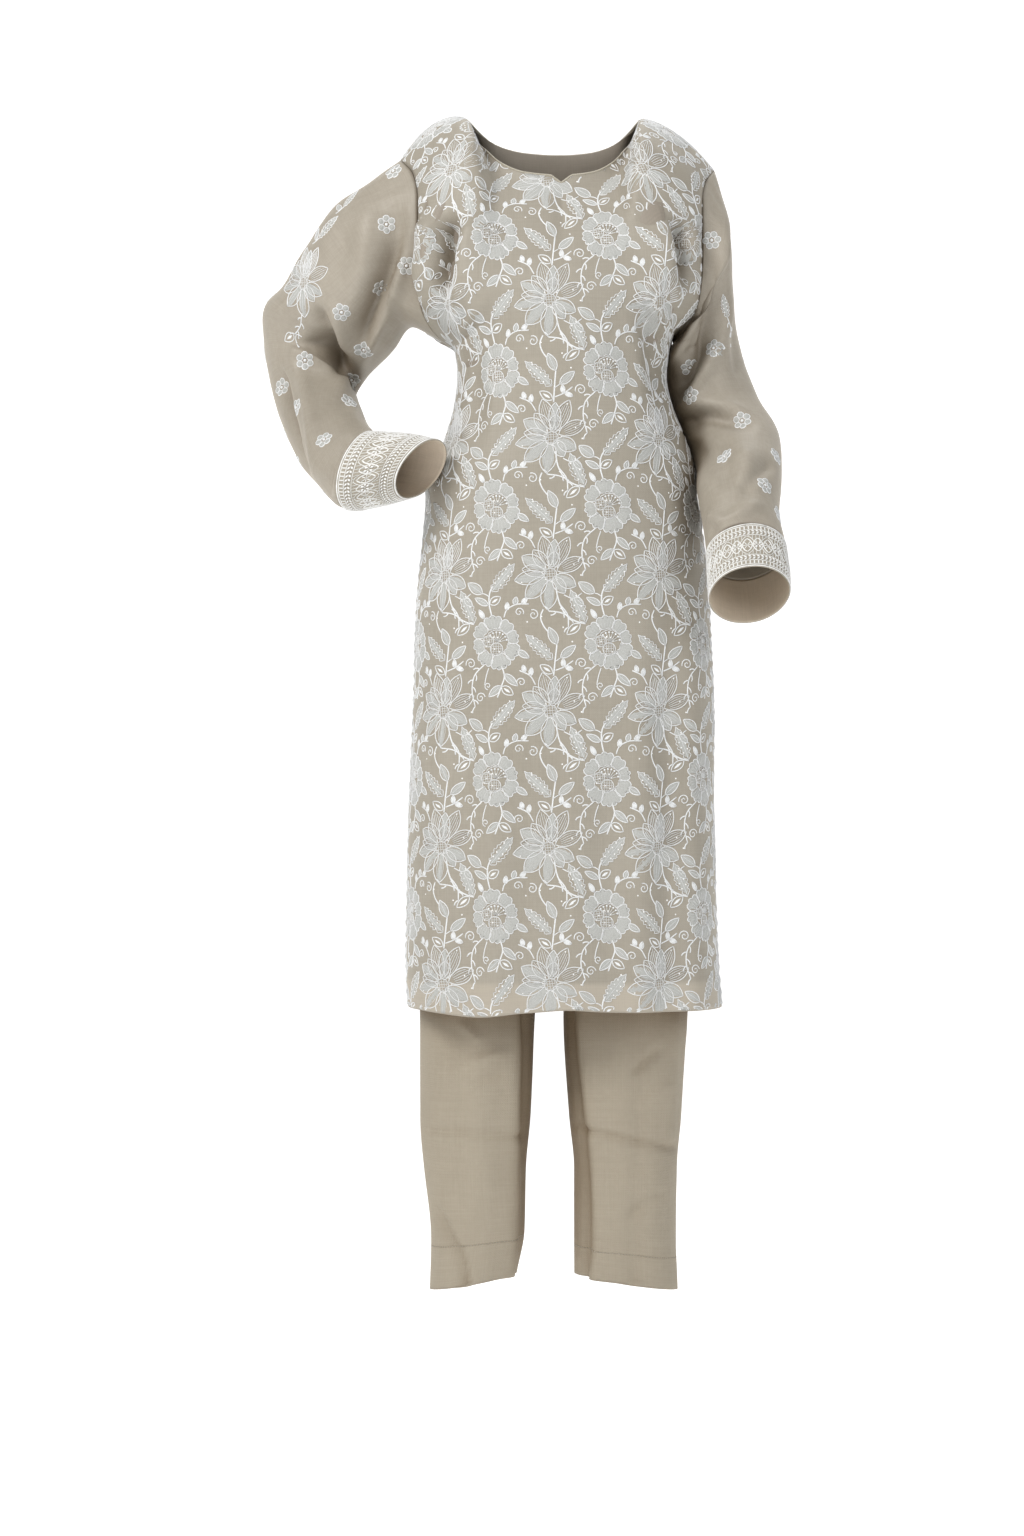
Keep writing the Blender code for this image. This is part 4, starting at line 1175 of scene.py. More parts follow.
def thread_finish(name, colour, dark, rough, grain, bump):
    """Stitched thread: fine strands that catch the light unevenly."""
    material = bpy.data.materials.new(name)
    material.use_nodes = True
    tree = material.node_tree
    join = tree.links.new
    shader = tree.nodes["Principled BSDF"]
    shader.inputs["Sheen Weight"].default_value = 0.2
    spot = tree.nodes.new("ShaderNodeTexCoord")
    strands = node(tree, "ShaderNodeTexNoise", Scale=grain, Detail=2.0, Roughness=0.7)
    join(spot.outputs["Object"], strands.inputs["Vector"])
    share = ramp(tree, strands.outputs["Fac"], 0.0, 1.0, 0.35, 0.62)
    base = blend_colours(tree, share, dark, colour)
    # painted shade: the threads are painted darker where cloth and other threads close round them
    base = paint_occlusion_shade(tree, base, PAINTED_SHADE_REACH, (0.58, 0.54, 0.48))
    join(base, shader.inputs["Base Color"])
    join(ramp(tree, share, rough + 0.1, rough - 0.1), shader.inputs["Roughness"])
    relief = node(tree, "ShaderNodeBump", Strength=bump, Distance=RELIEF_DEEP)
    join(strands.outputs["Fac"], relief.inputs["Height"])
    join(relief.outputs[0], shader.inputs["Normal"])
    return material


def sequin_finish():
    material = thread_finish("matt sequins", (0.95, 0.95, 0.95), (0.84, 0.85, 0.85), 0.28, 500.0, 0.2)
    material.node_tree.nodes["Principled BSDF"].inputs["Coat Weight"].default_value = 0.4
    return material


# the ground is darker where the taupe lining and its shade show through the sheer cloth; below the lining's
# hem it is painted paler, for the light that passes through the unlined cloth
ORGANZA = cloth_finish("embroidered organza ground", (0.345, 0.314, 0.261), (0.303, 0.274, 0.223),
                       900.0, 0.5, 0.52, 0.35, 0.30, (LINING_LEVEL - 0.001, 0.003, (0.405, 0.362, 0.297)))
SLEEVE_ORGANZA = cloth_finish("sleeve organza ground", (0.380, 0.342, 0.285), (0.310, 0.275, 0.222),
                              900.0, 0.5, 0.50, 0.35, 0.35)
LINING = cloth_finish("taupe lining", (0.300, 0.262, 0.215), (0.262, 0.228, 0.186), 1400.0, 0.3, 0.55, 0.2)
LACE_GROUND = cloth_finish("lace ground", (0.380, 0.350, 0.290), (0.320, 0.290, 0.235),
                           520.0, 0.3, 0.7, 0.7)
# the cuffs' inside cloth, painted much paler than the lace ground to stand in for light that reaches inside
# the sleeve
CUFF_INSIDE_PAINTED_LIGHT = cloth_finish("inside of the cuffs, painted paler for light", (0.66, 0.56, 0.45), (0.58, 0.49, 0.38),
                           1400.0, 0.3, 0.6, 0.2)
# painted shade with a long reach: the trousers are painted darker and warmer under the kameez's hem as well
# as in their folds
SUITING = cloth_finish("plain slub cloth", (0.368, 0.322, 0.250), (0.330, 0.286, 0.220),
                       760.0, 1.6, 0.80, 0.55, 0.15, painted_shade=(0.12, (0.45, 0.33, 0.20), 0.45, 0.95))
OUTLINE = thread_finish("pale outline thread", (0.80, 0.82, 0.84), (0.69, 0.705, 0.715), 0.55, 900.0, 0.4)
FILLING = thread_finish("filled stitching", (0.455, 0.461, 0.446), (0.365, 0.366, 0.345), 0.60, 1100.0, 0.6)
SEQUINS = sequin_finish()
LACE = thread_finish("white lace thread", (0.87, 0.875, 0.87), (0.77, 0.775, 0.77), 0.6, 800.0, 0.4)
SEAM_THREAD = thread_finish("seam thread", (0.42, 0.385, 0.31), (0.36, 0.33, 0.26), 0.6, 900.0, 0.3)


# ---- the pieces ----------------------------------------------------------------------------
def join_copies(work, count):
    """The faces, kinds, forms and undersides of so many copies of one drawing."""
    faces, kinds = [], []
    for k in range(count):
        start = k * len(work.spots)
        faces.extend(tuple(i + start for i in f) for f in work.faces)
        kinds.extend(work.kinds)
    shapes = np.concatenate([np.array(work.shapes) + k * len(work.bends) for k in range(count)])
    return faces, kinds, shapes, np.tile(np.array(work.bends), count)


def adorn(name, positions, keep, faces, kinds, low):
    """Make a piece of the laid needlework, leaving out what would hang over an edge."""
    good = [all(keep[i] for i in f) for f in faces]
    used = sorted({i for f, g in zip(faces, good) if g for i in f})
    renumber = {old: new for new, old in enumerate(used)}
    kinds = [k for k, g in zip(kinds, good) if g]
    faces = [tuple(renumber[i] for i in f) for f, g in zip(faces, good) if g]
    piece = new_mesh(name, positions[used], faces, None, (OUTLINE, FILLING, SEQUINS), kinds,
                     low[used])
    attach(piece, "root")
    return piece


EDGE_CLEAR = 0.0008  # needlework ends this far from the cloth's edges


def spread(name, chart, work, origins):
    """Lay one flat drawing on the body at each of its repeats."""
    flat = np.array(work.spots)
    faces, kinds, shapes, bends = join_copies(work, len(origins))
    spots = np.concatenate([flat * MM + np.array([s0, t0, 0.0]) for s0, t0 in origins])
    positions, room = chart.lay(spots[:, 0], spots[:, 1], spots[:, 2])
    inside = room > EDGE_CLEAR
    count = np.bincount(shapes, minlength=len(bends))
    kept = np.bincount(shapes, weights=inside, minlength=len(bends))
    # a filled shape that runs over an edge is drawn in toward its own part on the cloth
    cut = bends & (kept > 0) & (kept < count)
    middle = np.stack([np.bincount(shapes, weights=spots[:, k] * inside, minlength=len(bends))
                       for k in (0, 1)], axis=1) / np.maximum(kept, 1.0)[:, None]
    move = np.nonzero(cut[shapes] & ~inside)[0]
    if len(move):
        home, out = middle[shapes[move]], spots[move, :2]
        near, far = np.zeros(len(move)), np.ones(len(move))
        for _ in range(8):
            half = (near + far) / 2.0
            place = home + (out - home) * half[:, None]
            fits = chart.lay(place[:, 0], place[:, 1], spots[move, 2])[1] > EDGE_CLEAR
            near, far = np.where(fits, half, near), np.where(fits, far, half)
        place = home + (out - home) * near[:, None]
        positions[move] = chart.lay(place[:, 0], place[:, 1], spots[move, 2])[0]
        inside[move] = near > 0.0
    return adorn(name, hem_sway(positions), inside, faces, kinds, spots[:, 2] < 0.0)


FIRST_PEONY = (-0.0778, -0.1497)  # on the front, across and up
BACK_SHIFT = 0.031                # the back's design lies this much farther across


def repeats(shift):
    """Where the peonies lie: a repeat apart across and up, and past the cloth's edges."""
    return [(FIRST_PEONY[0] + shift + i * REPEAT_ACROSS * MM, FIRST_PEONY[1] - j * REPEAT_UP * MM)
            for i in range(-3, 5) for j in range(-2, 7)]


NECK_NEAR = 0.5  # the back has half the columns, but all of them by the corner of its neck
LINING_STEP = 5  # the lining has one row for so many of the cloth's


def lining_grid(grid, every):
    """The lining just inside the cloth, on the same creases, with one column in so many."""
    under = grid - outward(grid) * (CLOTH + LAYER_GAP)
    middle, top = grid.shape[1] // 2, len(grid) - 1
    rows = [0] + [r for r in range(LINING_STEP, top, LINING_STEP) if grid[r, middle, 2] > LINING_LEVEL]
    inner = under[rows + [top]][:, ::every]
    # its lowest row lies at its own hem
    for c in range(inner.shape[1]):
        for k in (0, 1):
            inner[0, c, k] = np.interp(LINING_LEVEL, grid[:, every * c, 2], under[:, every * c, k])
    inner[0, :, 2] = LINING_LEVEL
    return inner


def make_body():
    for face, name, shift, drawn in ((-1, "front", 0.0, FIELD), (1, "back", BACK_SHIFT, BACK_FIELD)):
        grid, away, up = body_cloth(face)
        if face > 0:
            kept = [c for c in range(len(away)) if c % 2 == 0 or abs(away[c] - LAST_NECK) < NECK_NEAR]
            grid, away = grid[:, kept], away[kept]
        middle = grid.shape[1] // 2
        chart = Chart(grid, up)
        place = np.stack([arc_place(grid, middle)[..., 0], chart.t], axis=-1)
        cloth = shell("kameez_%s_cloth" % name, hem_sway(grid), place, ORGANZA, CLOTH)
        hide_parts("kameez_" + name)
        trims = [
            spread("kameez_%s_blooms" % name, chart, drawn[0], repeats(shift)),
            spread("kameez_%s_vines" % name, chart, drawn[1], repeats(shift)),
            neck_edge("kameez_%s_neck_edge" % name, grid, away),
        ]
        inner = lining_grid(grid, 2 if face < 0 else 1)
        liner = shell("kameez_lining_%s_cloth" % name, inner, arc_place(inner, inner.shape[1] // 2),
                      LINING, LINER)
        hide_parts("kameez_lining_" + name)


def tube_along(name, line, radius, sides, material):
    """A round cord along a line of points."""
    line = np.asarray(line)
    d = np.gradient(line, axis=0)
    d /= np.linalg.norm(d, axis=1, keepdims=True) + 1e-12
    out = np.cross(d, np.array([0.0, 0.0, 1.0]))
    out /= np.linalg.norm(out, axis=1, keepdims=True) + 1e-12
    over = np.cross(d, out)
    angles = np.arange(sides) * 2.0 * math.pi / sides
    turn, rise = np.cos(angles)[None, :, None], np.sin(angles)[None, :, None]
    rings = line[:, None] + radius * (turn * out[:, None] + rise * over[:, None])
    faces = [tuple(f) for f in grid_faces(len(line), sides, True)]
    n = len(line) * sides
    faces += [tuple(range(sides))[::-1], tuple(range(n - sides, n))]
    piece = new_mesh(name, rings.reshape(-1, 3), faces, None, [material])
    mesh = piece.data
    total = sum(mesh.vertices[p.vertices[0]].co.dot(p.normal) * p.area for p in mesh.polygons)
    if total < 0:
        mesh.flip_normals()
    return piece


EDGE_RADIUS = 0.0011  # of the neck's rolled edge


def neck_edge(name, grid, away):
    """The narrow turned edge of the neck, half sunk in the thickness of the cloth."""
    columns = [c for c in range(grid.shape[1]) if away[c] <= LAST_NECK + 0.05]
    line = grid[-1, columns] - outward(grid)[-1, columns] * (CLOTH / 2.0)
    piece = tube_along(name, line, EDGE_RADIUS, 8, SEAM_THREAD)
    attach(piece, "root")
    return piece


# ---- sleeves -------------------------------------------------------------------------------
ROUND = 112  # points round a sleeve
SLEEVE_ROWS, CUFF_ROWS = 130, 24
HEAD_HELD, CUFF_HELD = 0.08, 0.04     # shares of a sleeve where its seams hold the creases down
HEAD_GATHERS, GATHER_DEEP = 26, 0.0006  # the head is eased into its seam in small gathers

RIGHT_SLEEVE_FRONT = [
    # the deep fall from the armhole to the inside of the elbow, and the roll beside it
    Fold([(-186, -92), (-180, -132), (-198, -183), (-217, -227), (-237, -276)], -18, 5, 19, 0.22, 0.2),
    Fold([(-172, -150), (-189, -196), (-208, -236), (-228, -278)], 8, 11, 4, 0.3, 0.25),
    Fold([(-214, -80), (-223, -130), (-228, -180), (-240, -238)], 6, 14, 13, 0.3, 0.35),
    Fold([(-196, -232), (-210, -255), (-226, -290)], -5, 7, 6, 0.3, 0.3),
    Fold([(-243, -112), (-252, -150), (-262, -196)], -4, 12, 14, 0.4, 0.4),
    # the second fall, dark where it meets the forearm
    Fold([(-287, -206), (-276, -232), (-262, -262), (-247, -292)], -14, 6, 12, 0.3, 0.15),
    Fold([(-268, -205), (-259, -238), (-249, -276)], 6, 9, 4, 0.3, 0.3),
    # the forearm starts under a crease across the elbow
    Fold([(-304, -247), (-270, -264), (-248, -286), (-236, -306)], -11, 10, 4, 0.25, 0.1),
    Fold([(-328, -252), (-294, -263), (-263, -284), (-242, -316)], 8, 4, 12, 0.2, 0.2),
    Fold([(-237, -322), (-262, -330), (-292, -350)], -3, 10, 10, 0.15, 0.5),
    # the forearm's long edge, with its far side turned away
    Fold([(-320, -258), (-303, -296), (-290, -350), (-278, -425)], 6, 11, 6, 0.15, 0.1),
    Fold([(-331, -268), (-316, -322), (-301, -375), (-288, -430)], -15, 4, 14, 0.2, 0.06),
    # gathers at the cuff
    Fold([(-236, -370), (-252, -392), (-262, -418), (-267, -440)], -9, 4, 8, 0.25, 0.05),
    Fold([(-226, -372), (-240, -396), (-248, -430)], 5, 5, 5, 0.3, 0.05),
    Fold([(-224, -384), (-233, -405), (-240, -440)], -8, 4, 6, 0.3, 0.05),
]
RIGHT_SLEEVE_BACK = [
    Fold([(-188, -100), (-208, -160), (-240, -215)], -11, 14, 14, 0.3, 0.4),
    Fold([(-214, -90), (-256, -150), (-302, -205)], 6, 14, 18, 0.3, 0.4),
    Fold([(-232, -268), (-280, -256), (-338, -230)], 7, 10, 12, 0.3, 0.3),
    Fold([(-235, -300), (-285, -292), (-335, -275)], -8, 9, 10, 0.3, 0.3),
    Fold([(-325, -290), (-300, -350), (-270, -420)], 6, 12, 12, 0.3, 0.3),
    Fold([(-285, -320), (-265, -370), (-242, -415)], -6, 10, 12, 0.3, 0.3),
]
LEFT_SLEEVE_FRONT = [
    # the long dark fall that comes round from the arm toward the body
    Fold([(180, -165), (176, -212), (165, -258), (149, -292), (127, -322)], -16, 7, 13, 0.3, 0.12),
    Fold([(188, -190), (182, -232), (171, -270), (155, -302), (136, -326)], 6, 10, 8, 0.3, 0.15),
    Fold([(158, -205), (152, -236), (138, -264), (122, -288)], 7, 7, 7, 0.45, 0.2),
    Fold([(166, -215), (152, -250), (136, -282)], -5, 4, 5, 0.3, 0.2),
    Fold([(152, -222), (140, -243), (126, -260)], -7, 5, 5, 0.3, 0.1),
    Fold([(163, -120), (166, -160), (168, -196)], -4, 12, 10, 0.4, 0.4),
    Fold([(178, -110), (186, -180), (185, -255), (190, -305)], 6, 10, 12, 0.3, 0.3),
    Fold([(198, -225), (197, -265), (206, -310)], -4, 8, 7, 0.3, 0.3),
    # soft arcs round the elbow
    Fold([(126, -338), (150, -328), (185, -334), (225, -352)], 6, 9, 10, 0.1, 0.35),
    Fold([(136, -356), (160, -346), (190, -350), (225, -364)], -9, 8, 10, 0.15, 0.35),
    Fold([(144, -372), (158, -395), (160, -425)], -6, 9, 8, 0.2, 0.3),
    Fold([(172, -372), (178, -402), (184, -440)], -5, 10, 12, 0.3, 0.3),
    Fold([(198, -378), (205, -410), (196, -446)], 6, 14, 12, 0.3, 0.3),
    Fold([(240, -402), (216, -418), (194, -446)], -6, 8, 10, 0.2, 0.2),
    # the cloth bags over the cuff
    Fold([(158, -462), (178, -476), (200, -462), (226, -452)], 7, 8, 7, 0.1, 0.3),
    Fold([(160, -484), (180, -494), (202, -482), (228, -474)], -7, 7, 7, 0.1, 0.3),
]
LEFT_SLEEVE_BACK = [
    Fold([(168, -100), (170, -165), (160, -240)], -10, 13, 15, 0.3, 0.4),
    Fold([(186, -150), (190, -215), (205, -280)], 6, 13, 15, 0.3, 0.4),
    Fold([(134, -300), (178, -310), (222, -330)], -8, 10, 10, 0.2, 0.3),
    Fold([(146, -335), (190, -345), (236, -362)], 7, 10, 10, 0.2, 0.3),
    Fold([(165, -395), (190, -420), (200, -480)], 6, 12, 12, 0.3, 0.2),
    Fold([(225, -390), (222, -440), (220, -495)], -6, 11, 11, 0.3, 0.2),
]
# where the left sleeve rests against the body: level, how tall the touch is, how far it leans in
LEFT_TOUCH = [(-0.262, 0.018, 0.0080), (-0.425, 0.034, 0.0055)]
LEFT_SAG = (-0.256, 0.016, 0.0090)  # the slack cloth under the arm: level, how tall, how far down
# where the long fall starts, the form is softened: place, reach, and how many times
LEFT_ROUNDED = (0.168, -0.203, 0.024, 40)


def sleeve_rings(side, table):
    """Control rings from the armhole to the cuff; across x down the arm points outward."""
    a = side.way * 2.0 * math.pi * np.arange(ROUND) / ROUND
    upward = (1.0 + np.cos(a)) / 2.0
    is_front = (np.sin(a) >= 0)[:, None]
    first = np.where(is_front, armhole_points(side, upward, -1), armhole_points(side, upward, 1))
    first[:, 0] += side.way * SEAM_GAP * 1.5
    rings = []
    for row in table:
        outer = np.array([row.outer_x, row.y, row.outer_z])
        inner = np.array([row.inner_x, row.y, row.inner_z])
        centre, top = (outer + inner) / 2.0, (outer - inner) / 2.0
        along = np.array([top[2], 0.0, -top[0]])
        along = along / np.linalg.norm(along) * side.way
        lean = math.radians(row.lean)
        forward = (-along * math.sin(lean) - np.array([0.0, math.cos(lean), 0.0])) * row.deep
        rings.append(centre + np.cos(a)[:, None] * top + np.sin(a)[:, None] * forward
                     + (np.sin(a) ** 2)[:, None] * along * row.bow)
    return np.array([first, mix(first, rings[0], CAP_SHARE)] + rings)


def loft(rings, far, spots):
    """Rings between the control rings, on soft curves down the arm."""
    tangent = np.gradient(rings, far, axis=0)
    i = before(far, spots)
    span = (far[i + 1] - far[i])[:, None, None]
    t = (spots - far[i])[:, None, None] / span
    return soft_step(t, span, rings[i], tangent[i], rings[i + 1], tangent[i + 1])


def ring_place(grid):
    """Flat cloth position on a tube, cut open at its first column."""
    closed = np.concatenate([grid, grid[:, :1]], axis=1)
    return arc_place(closed, closed.shape[1] // 2)


def sleeve_cloth(side, table, fronts, backs):
    """The outer surfaces of one sleeve and its cuff, rows from the armhole down."""
    rings = sleeve_rings(side, table)
    step = np.linalg.norm(np.diff(rings, axis=0), axis=2).mean(axis=1)
    far = np.concatenate([[0.0], np.cumsum(step)])
    cut = far[len(rings) - CUFF_RINGS]
    sleeve = loft(rings, far, np.linspace(0.0, cut, SLEEVE_ROWS + 1))
    cuff = loft(rings, far, np.linspace(cut + SEAM_GAP, far[-1], CUFF_ROWS + 1))
    down = np.linspace(0.0, 1.0, SLEEVE_ROWS + 1)[:, None]
    if side is LEFT:
        inner = smooth(-outward(sleeve, True)[..., 0] / 0.9)
        for level, tall, far_in in LEFT_TOUCH:
            sleeve[..., 0] -= inner * far_in * np.exp(-((sleeve[..., 2] - level) / tall) ** 2)
        level, tall, sag = LEFT_SAG
        under = smooth((-outward(sleeve, True)[..., 2] + 0.35) / 0.9) * smooth(down / 0.03)
        sleeve[..., 2] -= under * sag * np.exp(-((sleeve[..., 2] - level) / tall) ** 2)
    hold = smooth(down / HEAD_HELD) * smooth((1.0 - down) / CUFF_HELD + 0.15)
    sleeve = lift(sleeve, fronts, hold, -1, True)
    sleeve = lift(sleeve, backs, hold, 1, True)
    if side is LEFT:
        x, z, reach, rounds = LEFT_ROUNDED
        near = (sleeve[..., 0] - x) ** 2 + (sleeve[..., 2] - z) ** 2
        sleeve = ease(sleeve, np.exp(-near / reach ** 2), rounds)
    n = outward(sleeve, True)
    sleeve = sleeve + n * (ripple(sleeve, "sleeve", 5.0 + side.way) * hold)[..., None]
    around = np.arange(ROUND)[None, :] * 2.0 * math.pi * HEAD_GATHERS / ROUND
    gathers = np.exp(-((down - 0.03) / 0.02) ** 2) * GATHER_DEEP * np.sin(around)
    sleeve = sleeve + outward(sleeve, True) * gathers[..., None]
    cuff = cuff + outward(cuff, True) * ripple(cuff, "cuff", 1.0)[..., None]
    return sleeve, cuff


RAY_FROM = 0.030  # a drawing is laid on the cloth from this far outside it, and as far inside


def on_surface(tree, flower, where, normal, lean, size):
    """Lay a small drawing against a tube of cloth; says how far each point had to go."""
    n = Vector(normal).normalized()
    up = Vector((0, 0, 1)) - n * n.z
    up.normalize()
    across = up.cross(n)
    flat = flower.turned(lean, size)
    out = np.empty_like(flat)
    far = np.empty(len(flat))
    centre = Vector(where)
    for i, (x, y, h) in enumerate(flat):
        start = centre + across * (x * MM) + up * (y * MM)
        hit, direction, _, _ = tree.ray_cast(start + n * RAY_FROM, -n, 2.0 * RAY_FROM)
        if hit is None:
            hit, direction, _, _ = tree.find_nearest(start)
        out[i] = hit + direction * (h * MM)
        far[i] = (hit - start).length
    return out, far


def surface_tree(grid):
    tall, wide = grid.shape[:2]
    return BVHTree.FromPolygons([tuple(p) for p in grid.reshape(-1, 3)],
                                [tuple(f) for f in grid_faces(tall, wide, True)])


SPOT_GAP = 0.050  # the flowers of a sleeve's back lie at least this far apart
FLOWER_REACH, SPRAY_REACH = 0.012, 0.018  # a point that had to go farther is left out
RIGHT_FLOWERS = [(-0.192, -0.062), (-0.201, -0.129), (-0.176, -0.176), (-0.208, -0.196),
                 (-0.252, -0.224), (-0.230, -0.262), (-0.297, -0.272), (-0.246, -0.290),
                 (-0.328, -0.299), (-0.245, -0.322), (-0.307, -0.330), (-0.270, -0.374)]
LEFT_FLOWERS = [(0.169, -0.148), (0.173, -0.268), (0.145, -0.288), (0.145, -0.321), (0.204, -0.351),
                (0.181, -0.398), (0.240, -0.396), (0.224, -0.431), (0.243, -0.464)]


def nearest(grid, front, x, z):
    """Row and column of the place on a sleeve's front that lies so far across and up."""
    gap = np.hypot(grid[..., 0] - x, grid[..., 2] - z) + np.where(front, 0.0, 1.0)
    return np.unravel_index(np.argmin(gap), gap.shape)


def sleeve_spots(grid, chosen):
    """The flowers that are listed for the front, then more of them spread over the back."""
    n = outward(grid, True)
    spots = [nearest(grid, n[..., 1] < -0.25, x, z) for x, z in chosen]
    taken = [grid[r, c] for r, c in spots]
    for r in range(6, len(grid) - 7, 3):
        for c in range((r * 7) % 5, ROUND, 3):
            p = grid[r, c]
            if n[r, c, 1] < 0.10 or p[1] < grid[r, :, 1].mean():
                continue
            if all(np.linalg.norm(p - q) > SPOT_GAP for q in taken):
                spots.append((r, c))
                taken.append(p)
    return [(grid[r, c], n[r, c]) for r, c in spots]


def edge_bloom():
    """The lotus that lies over the outer edge of a sleeve, with its twigs."""
    work = Needlework()
    lotus(work, 0, 0)
    comb(work, [(-6, -36), (-16, -50), (-28, -60)], 7, 5.0)
    open_leaf(work, (-26, -60), (-20, -76), 8)
    open_leaf(work, (-30, -60), (-44, -68), 8)
    return work


def edge_leaf():
    """A pair of leaves on a short stem."""
    work = Needlework()
    leaf(work, (0, -16), (6, 18), 13, 7)
    work.thread([(-10, -28), (-4, -22), (0, -16)], 1.7)
    leaf(work, (-4, -22), (-18, -10), 8)
    return work


def edge_twig():
    """A leaf that stands on a feathery twig."""
    work = Needlework()
    leaf(work, (2, 4), (-2, 34), 11, 6)
    comb(work, [(2, 4), (8, -14), (14, -32)], 7, 5.0)
    return work


def placed_sprays(grid, n, sprays):
    """Where the larger shapes lie: given across and up as the sleeve hangs, on its front."""
    out = []
    for x, z, work, lean, size in sprays:
        r, c = nearest(grid, n[..., 1] < -0.02, x, z)
        out.append((grid[r, c], n[r, c], work, lean, size))
    return out


def adorn_sleeve(name, grid, chosen, sprays):
    """The needlework of one sleeve: its flowers, and its few larger shapes."""
    tree = surface_tree(grid)
    laid, keep, faces, kinds, low = [], [], [], [], []

    def add(work, where, normal, lean, size=1.0, reach=FLOWER_REACH):
        out, far = on_surface(tree, work, where, normal, lean, size)
        start = sum(len(part) for part in laid)
        faces.extend(tuple(i + start for i in f) for f in work.faces)
        kinds.extend(work.kinds)
        laid.append(out)
        keep.append(far < reach)
        low.append(np.array(work.spots)[:, 2] < 0.0)

    for i, (where, normal) in enumerate(sleeve_spots(grid, chosen)):
        add(FLOWER, where, normal, 25.0 * (i % 5))
    for where, normal, work, lean, size in placed_sprays(grid, outward(grid, True), sprays):
        add(work, where, normal, lean, size, SPRAY_REACH)
    return adorn(name, np.concatenate(laid), np.concatenate(keep), faces, kinds, np.concatenate(low))


# ---- lace cuffs ----------------------------------------------------------------------------
LACE_REPEATS, LACE_ACROSS, LACE_DEEP = 12, 23.0, 76.0
LACE_MIDDLE = LACE_DEEP / 2.0
BAND_LOW, BAND_HIGH = 20.5, 55.5  # the edges of the lace's broad middle band


def lace_leaf(work, base, tip):
    """A small slanting leaf of the narrow bands."""
    across, up = tip[1] - base[1], base[0] - tip[0]
    size = math.hypot(across, up)
    across, up = across / size * 1.25, up / size * 1.25
    x, y = (base[0] + tip[0]) / 2.0, (base[1] + tip[1]) / 2.0
    work.patch([base, (x + across, y + up), tip, (x - across, y - up)], 0.9, LINE)


def arch(share):
    """Height of the lace's arches above its middle, a share of a repeat across."""
    return 15.5 * abs(math.cos(math.pi * share)) ** 1.5


def lace_repeat():
    """One repeat of the lace, from its seam edge to its rim."""
    work = Needlework()
    w = LACE_ACROSS
    for v, wide in ((1.4, 2.0), (4.4, 1.1), (11.0, 1.1), (BAND_LOW, 1.1), (BAND_HIGH, 1.1),
                    (65.0, 1.1), (71.6, 1.1), (74.4, 2.2)):
        work.thread([(0, v), (w, v)], wide, 1.0, 5.8)
    for low, high in ((4.4, 11.0), (65.0, 71.6)):
        for i in range(5):
            u = (i + 0.5) * w / 5
            work.thread([(u, low), (u, high)], 1.7, 0.8, 3.3)
    for low, high in ((12.0, 19.6), (56.4, 64.0)):
        middle = (low + high) / 2.0
        for i in range(5):
            u = i * w / 5
            for edge in (low, high):
                lace_leaf(work, (u + 0.6, middle), (u + 4.4, edge))
    # two crossing waves with an arch outside each
    eighths = [i / 8.0 for i in range(9)]
    for sign in (1, -1):
        wave = [(w * k, LACE_MIDDLE + sign * 11.5 * math.cos(2.0 * math.pi * k)) for k in eighths]
        work.thread(wave, 1.7, 1.0, 3.0)
        work.thread([(w * k, LACE_MIDDLE + sign * arch(k)) for k in eighths], 1.0, 0.8, 3.4)
    # a flower in the middle, and half of a star at each end
    hub = (w / 2.0, LACE_MIDDLE)
    for a in range(0, 360, 60):
        work.patch([at(*hub, a, 1.6), at(*hub, a, 4.0, 1.5), at(*hub, a, 6.2), at(*hub, a, 4.0, -1.5)],
                   0.9, LINE)
    for end, angles in ((0.0, (-60, 0, 60)), (w, (240, 180, 120))):
        for a in angles:
            work.thread([at(end, LACE_MIDDLE, a, 0.4), at(end, LACE_MIDDLE, a, 7.5)], 1.2, 0.8, 3.6)
    # bars from the arches to the band's edges
    for i in range(6):
        u = (i + 0.5) * w / 6
        top = LACE_MIDDLE + arch(u / w)
        work.thread([(u, BAND_HIGH), (u, top)], 0.8, 0.7, 4.0)
        work.thread([(u, BAND_LOW), (u, LACE_DEEP - top)], 0.8, 0.7, 4.0)
    return work


def lace_cuff(name, grid):
    """The lace of one cuff: its repeats laid round the ground."""
    work = lace_repeat()
    n = outward(grid, True)
    flat = np.array(work.spots)
    faces, kinds, _, _ = join_copies(work, LACE_REPEATS)
    laid = []
    whole = LACE_REPEATS * LACE_ACROSS
    for k in range(LACE_REPEATS):
        c = (flat[:, 0] + k * LACE_ACROSS) / whole * ROUND
        r = np.clip(flat[:, 1] / LACE_DEEP * (len(grid) - 1), 0.0, len(grid) - 1.001)
        r0, c0 = r.astype(int), np.floor(c).astype(int)
        spot = ((r0, r0 + 1), (c0 % ROUND, (c0 + 1) % ROUND), (r - r0)[:, None], (c - c0)[:, None])
        laid.append(between(grid, *spot) + between(n, *spot) * (flat[:, 2] * MM)[:, None])
    piece = new_mesh(name, np.concatenate(laid), faces, None, (LACE,), [0] * len(kinds),
                     np.tile(flat[:, 2] < 0.0, LACE_REPEATS))
    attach(piece, "root")
    return piece


